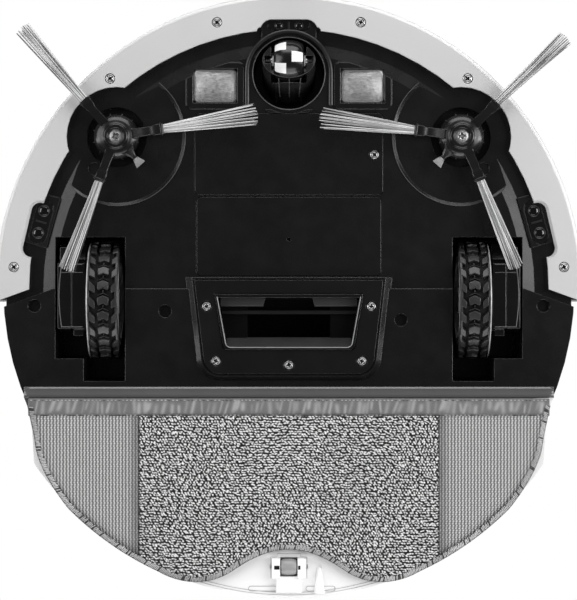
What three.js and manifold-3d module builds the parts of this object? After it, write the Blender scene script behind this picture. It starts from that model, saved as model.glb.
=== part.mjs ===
// Robot vacuum and mop, built as separate pieces. Millimetres, +Z up, floor at z = 0.
// The front (bumper) faces -Y, the rear (mop) faces +Y, and the left wheel is on -X.
import * as THREE from "three";
import { mergeVertices } from "three/addons/utils/BufferGeometryUtils.js";
import Module from "manifold-3d";

const wasm = await Module();
wasm.setup();

// Overall
const BODY_RADIUS = 162.5;
const BODY_HEIGHT = 80;
const MOP_OVERHANG = 7;
const GAP = 0.3;
const ROUND = 72;
const FINE = 84;

// Chassis tray
const FLOOR_Z = 13;
const FLOOR_THICK = 3;
const STEP_DROP = 1;
const FRONT_INSET = 8;
const REAR_INSET = 5;
const WALL = 2.5;
const GROOVE_DEPTH = 1.6;
const GROOVE_INNER = 26.8;
const GROOVE_SLOPE = 6.7;
const STEP_INNER = [130, 0];
const STEP_OUTER = [157.5, 10];

// Bumper
const BUMPER_WALL = 2.8;
const BUMPER_TRAVEL = 4;
const BUMPER_TOP = 67;
const FLANGE_OUTER_INSET = 2.6;
const FLANGE_INNER_INSET = 19.3;
const FLANGE_THICK = 2.2;
const FLANGE_SCREW_ANGLES = [15.1, 40.4, 85.5];
const FLANGE_SCREW_INSET = 10.5;
const SMALL_SCREW_RADIUS = 2.6;
const SCREW_HEAD = 1.4;
const SCREW_SHANK_RADIUS = 1.3;

// Top cover and its controls
const COVER_INSET = 4.5;
const COVER_WALL = 2.2;
const COVER_ROUND = 9;
const BUTTON_RADIUS = 9;
const BUTTON_TRAVEL = 1;
const BUTTON_Y = -62;

// Caster
const CASTER_Y = -118.8;
const CASTER_WELL_SPARE = 1.5;
const CASTER_WELL_TOP = 47;
const CASTER_FORK_RADIUS = 15;
const CASTER_TRAIL = 6.8;
const CASTER_WHEEL_RADIUS = 11.5;
const CASTER_WHEEL_WIDTH = 17.5;
const CASTER_AXLE_RADIUS = 1.5;
const CASTER_FORK_BOTTOM = 4.6;
const CASTER_FORK_NOTCH = 2.2;
const CASTER_POCKET_SPARE = 0.7;
const CASTER_ARCH_INSIDE = 2.4;
const CASTER_ARCH_THICK = 1.8;

// Side brushes
const BRUSH_X = 95;
const BRUSH_Y = -83.7;
const BRUSH_REACH = 80;
const BRUSH_ARM_REACH = 28;
const BRUSH_ARM_WIDTH = 5.3;
const BRUSH_DOME_RADIUS = 13.7;
const BRUSH_BOSS_RADIUS = 6.8;
const BRUSH_WELL_RADIUS = 16.5;
const BRUSH_DISH_RADIUS = 37.8;
const BRUSH_DISH_DEPTH = 1.6;
const BRUSH_ARMS = { left: [-131, -8.7, 110], right: [-43.6, -172.7, 67.6] };
const BRUSH_STUB = { left: 48.4, right: 131.8 };
const BRUSH_MOTOR_RADIUS = 12;

// Charging contacts
const CONTACT_X = 40.7;
const CONTACT_Y = -112;
const CONTACT_SIZE = [22.5, 17];
const CONTACT_BEZEL = [24.6, 19.2];
const CONTACT_FRAME = [31.4, 25.2];
const CONTACT_FRAME_PROUD = 1;

// Covers under the body
const BATTERY_COVER = { x: 51.8, front: -96.8, rear: -51.9 };
const BATTERY_SCREW = [47.2, -74];
const CENTRE_COVER = { x: 50.8, front: -50.6, rear: -7.2 };
const COVER_PLATE = 1.8;
const BATTERY_SIZE = [84, 34, 26];

// Suction inlet
const INLET_FRONT = -4.8;
const INLET_REAR = 46.8;
const INLET_WIDE = 52;
const INLET_NARROW = 47;
const INLET_BOTTOM = 8.6;
const INLET_CORNER = 9;
const INLET_BORDER = 1.4;
const INLET_SLOPE = 6;
const MOUTH = { front: 3.1, rear: 33.6, wide: 40.8, narrow: 36.3 };
const LIP_WIDTH = 1.8;
const INLET_SCREWS = [[-45.3, 9.7], [45.3, 9.7], [-40.2, 39.8], [40.2, 39.8], [0, 41.9]];

// Drive wheels
const TYRE_RADIUS = 33;
const TYRE_WIDTH = 16.8;
const WHEEL_X = 102;
const WHEEL_Y = 6.5;
const RIM_RADIUS = 25;
const WELL = { inner: 90.3, outer: 128.8, rear: 38.5, tyre: 113.2 };
const WELL_SPARE = 2;
const WELL_ROOF_SPARE = 4;
const WELL_TAIL = 11.5;
const GEARBOX = { inner: 112.4, outer: 127.4, front: -14, rear: 22, top: 50 };
const PIVOT_Y = -22;
const PIVOT_Z = 30;
const PIVOT_NOSE = 3;

// Small wells and sensors
const CLIFF_Y = -145.2;
const CLIFF_SIZE = [22.6, 5.4];
const SIDE_CLIFF_ANGLE = 74.9;
const SIDE_CLIFF_RADIUS = 141.6;
const SIDE_CLIFF_SIZE = [24.4, 9.2];
const SIDE_BAY = { angle: 76.9, inset: 19.2, length: 33, width: 12, slope: 1.3 };
const SIDE_ISLAND = { angle: 74.4, inner: 135, outer: 149, half: 14.2 };
const TONGUE_HALF = 15;
const TONGUE_REAR = 24.6;
const BLIND_HOLES = [
  [-68.3, 12.4],
  [61.8, 17.2],
  [-140.4, 9.4],
  [140.4, 9.4],
  [-107.2, -66.2],
  [107.2, -66.2],
];
const BLIND_HOLE_RADIUS = 3.6;

// Dust bin, filter and fan
const BIN = { x: 78, front: 62, bottom: 18, top: 60 };
const BIN_WALL = 2;
const BIN_MOUTH = [46, 18];
const FAN_X = -57;
const FAN_Y = 22;
const FAN_RADIUS = 24;

// Mop
const MOP_FRONT = 53.8;
const MOP_RAIL = 6;
const MOP_PLATE_Z = 5.8;
const MOP_PLATE_TOP = 8.4;
const MOP_RAIL_TOP = 11.4;
const CLOTH_BOTTOM = 0.6;
const CLOTH_NOTCH_HALF = 57;
const CLOTH_NOTCH_DEPTH = 20;
const ROLLER_INSET = 10;
const ROLLER_WIDTH = 8.3;
const ROLLER_RADIUS = 4.6;
const TRUNK_HALF = 9.4;

// ---------------------------------------------------------------- solids

function solid(geometry) {
  const g = geometry.index ? geometry.toNonIndexed() : geometry.clone();
  g.deleteAttribute("normal");
  g.deleteAttribute("uv");
  return asSolid(mergeVertices(g, 1e-4));
}

// A solid from geometry whose shared vertices are already one.
function asSolid(geometry) {
  const vertProperties = new Float32Array(geometry.attributes.position.array);
  const triVerts = new Uint32Array(geometry.index.array);
  return new wasm.Manifold(new wasm.Mesh({ numProp: 3, vertProperties, triVerts }));
}

function geometryOf(body) {
  const mesh = body.getMesh();
  const points = new Float32Array(mesh.numVert * 3);
  for (let i = 0; i < mesh.numVert; i++) {
    points.set(mesh.vertProperties.subarray(i * mesh.numProp, i * mesh.numProp + 3), i * 3);
  }
  const geometry = new THREE.BufferGeometry();
  geometry.setAttribute("position", new THREE.BufferAttribute(points, 3));
  geometry.setIndex(new THREE.BufferAttribute(mesh.triVerts, 1));
  return geometry;
}

function join(...bodies) {
  return bodies.reduce((all, next) => all.add(next));
}

function cut(body, ...tools) {
  return tools.reduce((rest, tool) => rest.subtract(tool), body);
}

function common(a, b) {
  return a.intersect(b);
}

// An outline in XY, drawn up from bottom to top.
function prism(outline, bottom, top, curveSegments = 5) {
  const depth = top - bottom;
  const geometry = new THREE.ExtrudeGeometry(outline, { depth, bevelEnabled: false, curveSegments });
  return solid(geometry.translate(0, 0, bottom));
}

// An outline in YZ, drawn along X from low to high.
function sidePrism(outline, low, high, curveSegments = 5) {
  const depth = high - low;
  const geometry = new THREE.ExtrudeGeometry(outline, { depth, bevelEnabled: false, curveSegments });
  geometry.rotateY(Math.PI / 2).rotateX(Math.PI / 2);
  return solid(geometry.translate(low, 0, 0));
}

function box(x0, x1, y0, y1, z0, z1) {
  const geometry = new THREE.BoxGeometry(x1 - x0, y1 - y0, z1 - z0);
  return solid(geometry.translate((x0 + x1) / 2, (y0 + y1) / 2, (z0 + z1) / 2));
}

function disc(x, y, radius, bottom, top, segments = 32, topRadius = radius) {
  const geometry = new THREE.CylinderGeometry(topRadius, radius, top - bottom, segments);
  geometry.rotateX(Math.PI / 2);
  return solid(geometry.translate(x, y, (bottom + top) / 2));
}

function rod(x0, x1, y, z, radius, segments = 20) {
  const geometry = new THREE.CylinderGeometry(radius, radius, x1 - x0, segments);
  geometry.rotateZ(Math.PI / 2);
  return solid(geometry.translate((x0 + x1) / 2, y, z));
}

// A profile of [radius, height] pairs turned about a vertical axis.
function turned(profile, x, y, segments = ROUND) {
  const points = profile.map(([radius, height]) => new THREE.Vector2(radius, height));
  const geometry = new THREE.LatheGeometry(points, segments);
  geometry.rotateX(Math.PI / 2);
  return solid(geometry.translate(x, y, 0));
}

function polygon(points) {
  return new THREE.Shape(points.map(([x, y]) => new THREE.Vector2(x, y)));
}

function roundedRect(x0, x1, y0, y1, r) {
  const shape = new THREE.Shape();
  shape.moveTo(x0 + r, y0);
  shape.lineTo(x1 - r, y0);
  shape.absarc(x1 - r, y0 + r, r, -Math.PI / 2, 0);
  shape.lineTo(x1, y1 - r);
  shape.absarc(x1 - r, y1 - r, r, 0, Math.PI / 2);
  shape.lineTo(x0 + r, y1);
  shape.absarc(x0 + r, y1 - r, r, Math.PI / 2, Math.PI);
  shape.lineTo(x0, y0 + r);
  shape.absarc(x0 + r, y0 + r, r, Math.PI, 1.5 * Math.PI);
  return shape;
}

// A frustum whose upper and lower faces are rectangles about one centre.
function taperedBox(x, y, lower, upper, z0, z1) {
  const geometry = new THREE.BoxGeometry(1, 1, z1 - z0);
  const position = geometry.attributes.position;
  for (let i = 0; i < position.count; i++) {
    const size = position.getZ(i) < 0 ? lower : upper;
    position.setX(i, position.getX(i) * size[0]);
    position.setY(i, position.getY(i) * size[1]);
  }
  return solid(geometry.translate(x, y, (z0 + z1) / 2));
}

// A solid between two outlines with the same number of [x, y] points, at two heights.
function loft(lower, z0, upper, z1) {
  const count = lower.length;
  const points = [...lower.map(([x, y]) => [x, y, z0]), ...upper.map(([x, y]) => [x, y, z1])];
  const faces = [];
  for (let i = 0; i < count; i++) {
    const j = (i + 1) % count;
    faces.push([i, j, count + j], [i, count + j, count + i]);
  }
  const cap = (outline) => {
    const points = outline.map(([x, y]) => new THREE.Vector2(x, y));
    return THREE.ShapeUtils.triangulateShape(points, []);
  };
  for (const [a, b, c] of cap(lower)) faces.push([a, c, b]);
  for (const [a, b, c] of cap(upper)) faces.push([count + a, count + b, count + c]);
  const geometry = new THREE.BufferGeometry();
  geometry.setAttribute("position", new THREE.Float32BufferAttribute(points.flat(), 3));
  geometry.setIndex(faces.flat());
  return solid(geometry);
}

function circlePoints(x, y, rx, ry, count) {
  const points = [];
  for (let i = 0; i < count; i++) {
    const a = (2 * Math.PI * i) / count;
    points.push([x + rx * Math.cos(a), y + ry * Math.sin(a)]);
  }
  return points;
}

// The same body on the other side of the YZ plane, with its faces turned to point out again.
function mirrored(body) {
  const geometry = geometryOf(body).scale(-1, 1, 1);
  const index = geometry.index.array;
  for (let i = 0; i < index.length; i += 3) {
    [index[i + 1], index[i + 2]] = [index[i + 2], index[i + 1]];
  }
  return asSolid(geometry);
}

function shifted(body, x, y, z = 0) {
  return asSolid(geometryOf(body).translate(x, y, z));
}

function spun(body, degrees) {
  return asSolid(geometryOf(body).rotateZ(THREE.MathUtils.degToRad(degrees)));
}

// A body turned about Z, laid over so that its axis lies along X.
function laidAlongX(body) {
  return asSolid(geometryOf(body).rotateY(Math.PI / 2));
}

// ---------------------------------------------------------------- scene graph

const group = new THREE.Group();
group.position.y = -MOP_OVERHANG / 2;

const MATERIALS = {
  black: { color: 0x17171a, roughness: 0.42, metalness: 0 },
  white: { color: 0xe6e6e8, roughness: 0.35, metalness: 0 },
  rubber: { color: 0x2b2b2d, roughness: 0.85, metalness: 0 },
  metal: { color: 0xc8c8cc, roughness: 0.25, metalness: 1 },
  grey: { color: 0x8b8c8f, roughness: 0.6, metalness: 0 },
  clear: { color: 0xc9cbcd, roughness: 0.3, metalness: 0 },
  cloth: { color: 0xa9a9a9, roughness: 0.95, metalness: 0 },
  bristle: { color: 0xbdbdbd, roughness: 0.7, metalness: 0 },
  board: { color: 0x1f4a33, roughness: 0.6, metalness: 0 },
};

function add(name, look, body) {
  const mesh = new THREE.Mesh(geometryOf(body), new THREE.MeshStandardMaterial(MATERIALS[look]));
  mesh.name = name;
  group.add(mesh);
  return body;
}

const frontRadius = BODY_RADIUS - FRONT_INSET;
const rearRadius = BODY_RADIUS - REAR_INSET;
const rearFloorZ = FLOOR_Z - STEP_DROP;
const flangeZ = FLOOR_Z - GAP - FLANGE_THICK;
const casterWellRadius = CASTER_TRAIL + CASTER_WHEEL_RADIUS + CASTER_WELL_SPARE;
const rollerY = BODY_RADIUS - ROLLER_INSET;
const trayTop = BUMPER_TOP - 7;
const coverBottom = BUMPER_TOP + 1.5;
const sides = { left: -1, right: 1 };
const radians = THREE.MathUtils.degToRad;

// A screw that points down: its head shows below, its shank stands in the piece above.
function screw(x, y, headZ, radius = SMALL_SCREW_RADIUS, shank = 5) {
  const head = disc(x, y, radius, headZ, headZ + SCREW_HEAD, 16);
  const stem = disc(x, y, SCREW_SHANK_RADIUS, headZ + SCREW_HEAD - 0.2, headZ + SCREW_HEAD + shank, 8);
  return join(head, stem);
}

// The space a screw needs in the pieces that it passes.
function screwSeat(x, y, headZ, radius = SMALL_SCREW_RADIUS, shank = 5) {
  const head = disc(x, y, radius + GAP, headZ - 3, headZ + SCREW_HEAD + GAP, 16);
  const stem = disc(x, y, SCREW_SHANK_RADIUS + GAP, headZ, headZ + SCREW_HEAD + shank + GAP, 8);
  return join(head, stem);
}

// ---------------------------------------------------------------- regions used by several pieces

// Everything behind the slanted line where the rear body starts, set back by an extra distance.
function rearRegion(z0, z1, setBack = 0) {
  const [ix, iy] = STEP_INNER;
  const [ox, oy] = STEP_OUTER;
  const far = BODY_RADIUS * 2;
  const slope = (oy - iy) / (ox - ix);
  const outerY = iy + slope * (far - ix) + setBack;
  const innerY = iy + setBack;
  const outline = [[-far, outerY], [-ix, innerY], [ix, innerY], [far, outerY], [far, far], [-far, far]];
  return prism(polygon(outline), z0, z1);
}

function wheelWell(side, grow, z0, z1) {
  const w = WELL;
  const front = Math.min(WHEEL_Y - TYRE_RADIUS, PIVOT_Y - PIVOT_NOSE) - WELL_SPARE;
  const tailEnd = WHEEL_Y + TYRE_RADIUS + WELL_TAIL;
  const body = box(w.inner - grow, w.outer + grow, front - grow, w.rear + grow, z0, z1);
  const tail = box(w.inner - grow, w.tyre + grow, w.rear - 1, tailEnd + grow, z0, z1);
  const well = join(body, tail);
  return side < 0 ? mirrored(well) : well;
}

// A round-ended window, its long way at right angles to the radius at the given angle from -Y.
function capsule(x, y, length, width, turn, z0, z1) {
  const shape = roundedRect(-length / 2, length / 2, -width / 2, width / 2, width / 2 - 0.01);
  return shifted(spun(prism(shape, z0, z1), turn), x, y);
}

function sideCliffAt(side, grow, z0, z1) {
  const angle = radians(SIDE_CLIFF_ANGLE);
  const x = side * SIDE_CLIFF_RADIUS * Math.sin(angle);
  const y = -SIDE_CLIFF_RADIUS * Math.cos(angle);
  const [length, width] = SIDE_CLIFF_SIZE;
  return capsule(x, y, length + 2 * grow, width + 2 * grow, side * SIDE_CLIFF_ANGLE, z0, z1);
}

function binSpace(grow, z0, z1) {
  return box(-BIN.x - grow, BIN.x + grow, BIN.front - grow, BODY_RADIUS * 1.2, z0, z1);
}

// ---------------------------------------------------------------- chassis

function chassisFloor() {
  const front = disc(0, 0, frontRadius, FLOOR_Z, FLOOR_Z + FLOOR_THICK, ROUND);
  const rearDisc = disc(0, 0, rearRadius, rearFloorZ, FLOOR_Z + FLOOR_THICK, ROUND);
  const rear = common(rearDisc, rearRegion(rearFloorZ - 1, FLOOR_Z + FLOOR_THICK + 1));
  return join(front, rear);
}

function chassisWall() {
  const frontRing = cut(
    disc(0, 0, frontRadius, FLOOR_Z, trayTop, ROUND),
    disc(0, 0, frontRadius - WALL, FLOOR_Z - 1, trayTop + 1, ROUND),
  );
  const rearRing = cut(
    disc(0, 0, rearRadius, rearFloorZ, coverBottom - GAP, ROUND),
    disc(0, 0, rearRadius - WALL, rearFloorZ - 1, coverBottom + 1, ROUND),
  );
  const rearWall = common(rearRing, rearRegion(rearFloorZ - 1, coverBottom + 1));
  const bridges = Object.values(sides).map((side) => {
    const [ox, oy] = STEP_OUTER;
    const x = side * (ox - 3.6);
    return box(x - 2.2, x + 2.2, oy - 6, oy + 3, FLOOR_Z, trayTop);
  });
  const band = cut(
    disc(0, 0, rearRadius, FLOOR_Z, trayTop, ROUND),
    disc(0, 0, frontRadius - WALL, FLOOR_Z - 1, trayTop + 1, ROUND),
  );
  const tied = bridges.map((bridge) => common(bridge, band));
  return join(frontRing, rearWall, ...tied);
}

function slantedFront(setBack, z0, z1) {
  const far = BODY_RADIUS * 2;
  return cut(box(-far, far, -far, far, z0, z1), rearRegion(z0 - 1, z1 + 1, setBack));
}

// The ring-shaped groove beside the flange, with a sloping inner side; the sensors stand on islands in it.
function flangeGroove() {
  const inner = BODY_RADIUS - GROOVE_INNER;
  const z0 = FLOOR_Z - 2;
  const z1 = FLOOR_Z + GROOVE_DEPTH;
  const ring = turned(
    [
      [inner - GROOVE_SLOPE, FLOOR_Z - 0.01],
      [inner - GROOVE_SLOPE, z0],
      [BODY_RADIUS, z0],
      [BODY_RADIUS, z1],
      [inner, z1],
      [inner - GROOVE_SLOPE, FLOOR_Z - 0.01],
    ],
    0,
    0,
  );
  const island = SIDE_ISLAND;
  const islands = Object.values(sides).map((side) => {
    const block = box(-island.half, island.half, -island.outer, -island.inner, z0 - 1, z1 + 1);
    return spun(block, side * island.angle);
  });
  const rear = -BODY_RADIUS + TONGUE_REAR;
  const tongue = box(-TONGUE_HALF, TONGUE_HALF, -BODY_RADIUS, rear, z0 - 1, z1 + 1);
  return cut(common(ring, slantedFront(0, z0 - 1, z1 + 1)), tongue, ...islands);
}

// The outline of the flange's bay for the front sensor.
function frontBay() {
  const inner = BODY_RADIUS - FLANGE_INNER_INSET;
  const lip = BODY_RADIUS - 14.1;
  const right = [
    [10.3, -lip],
    [12.6, -lip + 0.7],
    [14.4, -lip + 2.2],
    [15.7, -lip + 4.4],
    [16.4, -inner - 0.9],
    [17.6, -inner + 0.4],
    [17.6, -inner + 12],
  ];
  const left = right.map(([x, y]) => [-x, y]).reverse();
  return [...left, ...right];
}

function contactFrame(x) {
  const [length, width] = CONTACT_FRAME;
  const low = FLOOR_Z - CONTACT_FRAME_PROUD;
  const rounded = (grow, r) => {
    const dx = length / 2 + grow;
    const dy = width / 2 + grow;
    return outlinePoints(roundedRect(x - dx, x + dx, CONTACT_Y - dy, CONTACT_Y + dy, r));
  };
  return loft(rounded(0, 3), low, rounded(0.8, 3.8), FLOOR_Z + 0.5);
}

function brushDish(side) {
  const x = side * BRUSH_X;
  const dish = turned(
    [
      [0, FLOOR_Z - 2],
      [BRUSH_DISH_RADIUS + 3, FLOOR_Z - 2],
      [BRUSH_DISH_RADIUS, FLOOR_Z],
      [BRUSH_DISH_RADIUS - 1.4, FLOOR_Z + BRUSH_DISH_DEPTH * 0.6],
      [BRUSH_WELL_RADIUS + 6, FLOOR_Z + BRUSH_DISH_DEPTH],
      [0, FLOOR_Z + BRUSH_DISH_DEPTH],
    ],
    x,
    BRUSH_Y,
    36,
  );
  const well = disc(x, BRUSH_Y, BRUSH_WELL_RADIUS, FLOOR_Z - 2, FLOOR_Z + 9, 32);
  const shaft = disc(x, BRUSH_Y, 4.5, FLOOR_Z, FLOOR_Z + 20, 24);
  return join(dish, well, shaft);
}

function inletOutline(grow) {
  const shape = new THREE.Shape();
  const wide = INLET_WIDE + grow;
  const narrow = INLET_NARROW + grow;
  const front = INLET_FRONT - Math.min(grow, INLET_BORDER);
  const rear = INLET_REAR + grow;
  const r = INLET_CORNER + grow;
  shape.moveTo(-wide, front);
  shape.lineTo(wide, front);
  shape.lineTo(narrow, rear - r);
  shape.absarc(narrow - r, rear - r, r, 0, Math.PI / 2);
  shape.lineTo(-narrow + r, rear);
  shape.absarc(-narrow + r, rear - r, r, Math.PI / 2, Math.PI);
  return shape;
}

function inletPlatform(grow, z0, z1) {
  return prism(inletOutline(grow), z0, z1);
}

function outlinePoints(shape) {
  const points = shape.getPoints(5).map((p) => [p.x, p.y]);
  const step = (i) => Math.hypot(points[i][0] - points[i - 1][0], points[i][1] - points[i - 1][1]);
  return points.filter((point, i) => i === 0 || step(i) > 1e-6);
}

function mouthShape(grow) {
  const m = MOUTH;
  const r = 3;
  const x0 = m.wide + grow;
  const x1 = m.narrow + grow;
  const shape = new THREE.Shape();
  shape.moveTo(-x0, m.front - grow);
  shape.lineTo(x0, m.front - grow);
  shape.lineTo(x1, m.rear + grow - r);
  shape.absarc(x1 - r, m.rear + grow - r, r, 0, Math.PI / 2);
  shape.lineTo(-x1 + r, m.rear + grow);
  shape.absarc(-x1 + r, m.rear + grow - r, r, Math.PI / 2, Math.PI);
  return shape;
}

function chassis() {
  const roofZ = FLOOR_Z + FLOOR_THICK;
  const shells = [chassisFloor(), chassisWall()];
  const cuts = [];
  for (const side of Object.values(sides)) {
    const roof = 2 * TYRE_RADIUS + WELL_ROOF_SPARE;
    shells.push(wheelWell(side, 2, FLOOR_Z, roof));
    cuts.push(wheelWell(side, 0, rearFloorZ - 1, roof - 2));
    shells.push(disc(side * BRUSH_X, BRUSH_Y, BRUSH_WELL_RADIUS + 2.5, roofZ - 1, FLOOR_Z + 11.5, 28));
    cuts.push(brushDish(side));
    cuts.push(sideCliffAt(side, GAP, FLOOR_Z - 1, FLOOR_Z + 2));
    const contact = [side * CONTACT_X, CONTACT_Y];
    const wanted = [CONTACT_SIZE[0] + 2 * GAP, CONTACT_SIZE[1] + 2 * GAP];
    const bezelZ = FLOOR_Z - CONTACT_FRAME_PROUD;
    shells.push(contactFrame(contact[0]));
    cuts.push(taperedBox(...contact, CONTACT_BEZEL, wanted, bezelZ - 0.01, FLOOR_Z + 1.4));
    cuts.push(taperedBox(...contact, wanted, wanted, FLOOR_Z + 1.3, roofZ + 1));
  }
  cuts.push(flangeGroove());
  // Caster well with its swivel bearing in the roof.
  shells.push(disc(0, CASTER_Y, casterWellRadius + 2.4, FLOOR_Z, CASTER_WELL_TOP + 3, 32));
  cuts.push(disc(0, CASTER_Y, casterWellRadius, FLOOR_Z - 2, CASTER_WELL_TOP, 32));
  cuts.push(disc(0, CASTER_Y, 3.1 + GAP, CASTER_WELL_TOP - 1, CASTER_WELL_TOP + 4, 24));
  const [cliffLong, cliffWide] = CLIFF_SIZE;
  cuts.push(capsule(0, CLIFF_Y, cliffLong + 2 * GAP, cliffWide + 2 * GAP, 0, FLOOR_Z - 1, FLOOR_Z + 2));
  // Raised arch around the caster, joined to the two ridges beside the contacts.
  const inside = casterWellRadius + CASTER_ARCH_INSIDE;
  const outside = inside + CASTER_ARCH_THICK;
  const arch = join(
    disc(0, CASTER_Y, outside, FLOOR_Z - 0.8, FLOOR_Z + 1, 32),
    box(-outside, outside, CASTER_Y, CASTER_Y + 17.5, FLOOR_Z - 0.8, FLOOR_Z + 1),
  );
  const archInside = join(
    disc(0, CASTER_Y, inside, FLOOR_Z - 2, FLOOR_Z, 32),
    box(-inside, inside, CASTER_Y, CASTER_Y + 20, FLOOR_Z - 2, FLOOR_Z),
  );
  shells.push(cut(arch, archInside));
  // Bays behind the two covers.
  const b = BATTERY_COVER;
  const c = CENTRE_COVER;
  const seat = COVER_PLATE + GAP;
  const batterySeat = roundedRect(-b.x - GAP, b.x + GAP, b.front - GAP, b.rear + GAP, 3);
  const centreSeat = roundedRect(-c.x - GAP, c.x + GAP, c.front - GAP, c.rear + GAP, 3);
  const bay = [b.x - 3, b.front + 2.8, b.rear - 2.8];
  shells.push(box(-bay[0] - 2, bay[0] + 2, bay[1] - 2, bay[2] + 2, FLOOR_Z + 1, FLOOR_Z + 32));
  cuts.push(prism(batterySeat, FLOOR_Z - 2, FLOOR_Z + seat - 0.5));
  cuts.push(prism(centreSeat, FLOOR_Z - 2, FLOOR_Z + seat - 0.5));
  cuts.push(box(-bay[0] + 4.5, bay[0] - 4.5, bay[1], bay[2], FLOOR_Z - 2, FLOOR_Z + 30));
  cuts.push(screwSeat(...BATTERY_SCREW, FLOOR_Z, SMALL_SCREW_RADIUS, 3.6));
  // Platform that carries the suction inlet, with sloping sides.
  const platformTop = outlinePoints(inletOutline(INLET_SLOPE));
  shells.push(loft(outlinePoints(inletOutline(INLET_BORDER)), INLET_BOTTOM + 1, platformTop, FLOOR_Z + 1));
  cuts.push(inletPlatform(GAP, INLET_BOTTOM - 2, FLOOR_Z + 0.8));
  cuts.push(prism(mouthShape(-1), FLOOR_Z - 2, roofZ + 2));
  for (const [x, y] of INLET_SCREWS) {
    shells.push(disc(x, y, 4, roofZ - 1, roofZ + 1.2, 16));
    cuts.push(screwSeat(x, y, INLET_BOTTOM + 0.4, SMALL_SCREW_RADIUS, 6.4));
  }
  for (const [x, y] of flangeScrewPlaces()) {
    cuts.push(disc(x, y, SCREW_SHANK_RADIUS + GAP, FLOOR_Z - 1, FLOOR_Z + 2.6, 8));
  }
  for (const [x, y] of BLIND_HOLES) {
    cuts.push(disc(x, y, BLIND_HOLE_RADIUS, rearFloorZ - 2, FLOOR_Z + 2.2, 16));
  }
  // The dust bin goes in through the rear wall.
  cuts.push(binSpace(GAP, BIN.bottom - GAP, BIN.top + GAP));
  return cut(join(...shells), ...cuts);
}

add("chassis", "black", chassis());

// ---------------------------------------------------------------- contacts and sensors

for (const [name, side] of Object.entries(sides)) {
  const place = [side * CONTACT_X, CONTACT_Y];
  const plate = taperedBox(...place, CONTACT_SIZE, CONTACT_SIZE, FLOOR_Z + 1.5, FLOOR_Z + 2.8);
  add("contact_" + name, "metal", plate);
  add("cliff_sensor_" + name, "black", sideCliffAt(side, 0, FLOOR_Z - 0.2, FLOOR_Z + 1.7));
}
add("cliff_sensor_front", "black", capsule(0, CLIFF_Y, ...CLIFF_SIZE, 0, FLOOR_Z - 0.2, FLOOR_Z + 1.7));

// ---------------------------------------------------------------- bumper

function frontHalf(z0, z1) {
  return slantedFront(-BUMPER_TRAVEL - 0.5, z0, z1);
}

function bumperShell() {
  const outer = BODY_RADIUS;
  const inner = BODY_RADIUS - BUMPER_WALL;
  const bottom = FLOOR_Z;
  const ring = turned(
    [
      [inner, bottom],
      [outer - 1.6, bottom],
      [outer - 0.5, bottom + 1],
      [outer, bottom + 3],
      [outer, BUMPER_TOP - 6],
      [outer - 1.2, BUMPER_TOP - 2],
      [outer - 3.4, BUMPER_TOP],
      [inner - 1.4, BUMPER_TOP],
      [inner, BUMPER_TOP - 3],
      [inner, bottom],
    ],
    0,
    0,
    FINE,
  );
  return common(ring, frontHalf(0, BODY_HEIGHT));
}

// The retaining ring under the bumper, screwed to the chassis, with bays for brushes and sensors.
function bumperFlange() {
  const outer = BODY_RADIUS - FLANGE_OUTER_INSET;
  const inner = BODY_RADIUS - FLANGE_INNER_INSET;
  const z0 = flangeZ;
  const z1 = flangeZ + FLANGE_THICK;
  const plate = cut(disc(0, 0, outer, z0, z1, FINE), disc(0, 0, inner, z0 - 1, z1 + 1, ROUND));
  const notches = [];
  for (const side of Object.values(sides)) {
    notches.push(disc(side * BRUSH_X, BRUSH_Y, 27.5, z0 - 1, z1 + 1, 32));
    notches.push(sideBay(side, z0 - 0.01, z1 + 0.01));
  }
  notches.push(prism(polygon(frontBay()), z0 - 1, z1 + 1));
  for (const [x, y] of flangeScrewPlaces()) notches.push(screwSeat(x, y, z0 + 0.2));
  return common(cut(plate, ...notches), frontHalf(0, BODY_HEIGHT));
}

// A sensor bay in the flange; its wall slopes inwards as it rises.
function sideBay(side, z0, z1) {
  const b = SIDE_BAY;
  const angle = radians(b.angle);
  const radius = BODY_RADIUS - b.inset;
  const outline = (grow) => {
    const width = b.width + 2 * grow;
    const length = b.length + 2 * grow;
    return outlinePoints(roundedRect(-length / 2, length / 2, -width / 2, width / 2, width / 2 - 0.01));
  };
  const bay = spun(loft(outline(0), z0, outline(-b.slope), z1), side * b.angle);
  return shifted(bay, side * radius * Math.sin(angle), -radius * Math.cos(angle));
}

function flangeScrewPlaces() {
  const radius = BODY_RADIUS - FLANGE_SCREW_INSET;
  const places = [];
  for (const side of [-1, 1]) {
    for (const angle of FLANGE_SCREW_ANGLES) {
      places.push([side * radius * Math.sin(radians(angle)), -radius * Math.cos(radians(angle))]);
    }
  }
  return places;
}

add("bumper_shell", "white", bumperShell());
add("bumper_flange", "white", bumperFlange());
flangeScrewPlaces().forEach(([x, y], i) => {
  add("bumper_screw_" + (i + 1), "metal", screw(x, y, flangeZ + 0.2, SMALL_SCREW_RADIUS, 3));
});

// ---------------------------------------------------------------- top cover, button, latch

function topCover() {
  const r = BODY_RADIUS - COVER_INSET;
  const top = BODY_HEIGHT;
  const round = Math.min(COVER_ROUND, top - coverBottom - 1);
  const profile = [[0, top]];
  const steps = 4;
  for (let i = 0; i <= steps; i++) {
    const a = (Math.PI / 2) * (i / steps);
    profile.push([r - round + round * Math.sin(a), top - round + round * Math.cos(a)]);
  }
  profile.push([r, coverBottom]);
  profile.push([r - COVER_WALL, coverBottom]);
  profile.push([r - COVER_WALL, top - round]);
  profile.push([r - round, top - COVER_WALL]);
  profile.push([0, top - COVER_WALL]);
  const shell = turned(profile.reverse(), 0, 0);
  const hole = disc(0, BUTTON_Y, BUTTON_RADIUS + GAP, top - COVER_WALL - 1, top + 1, 32);
  return cut(shell, hole);
}

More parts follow.
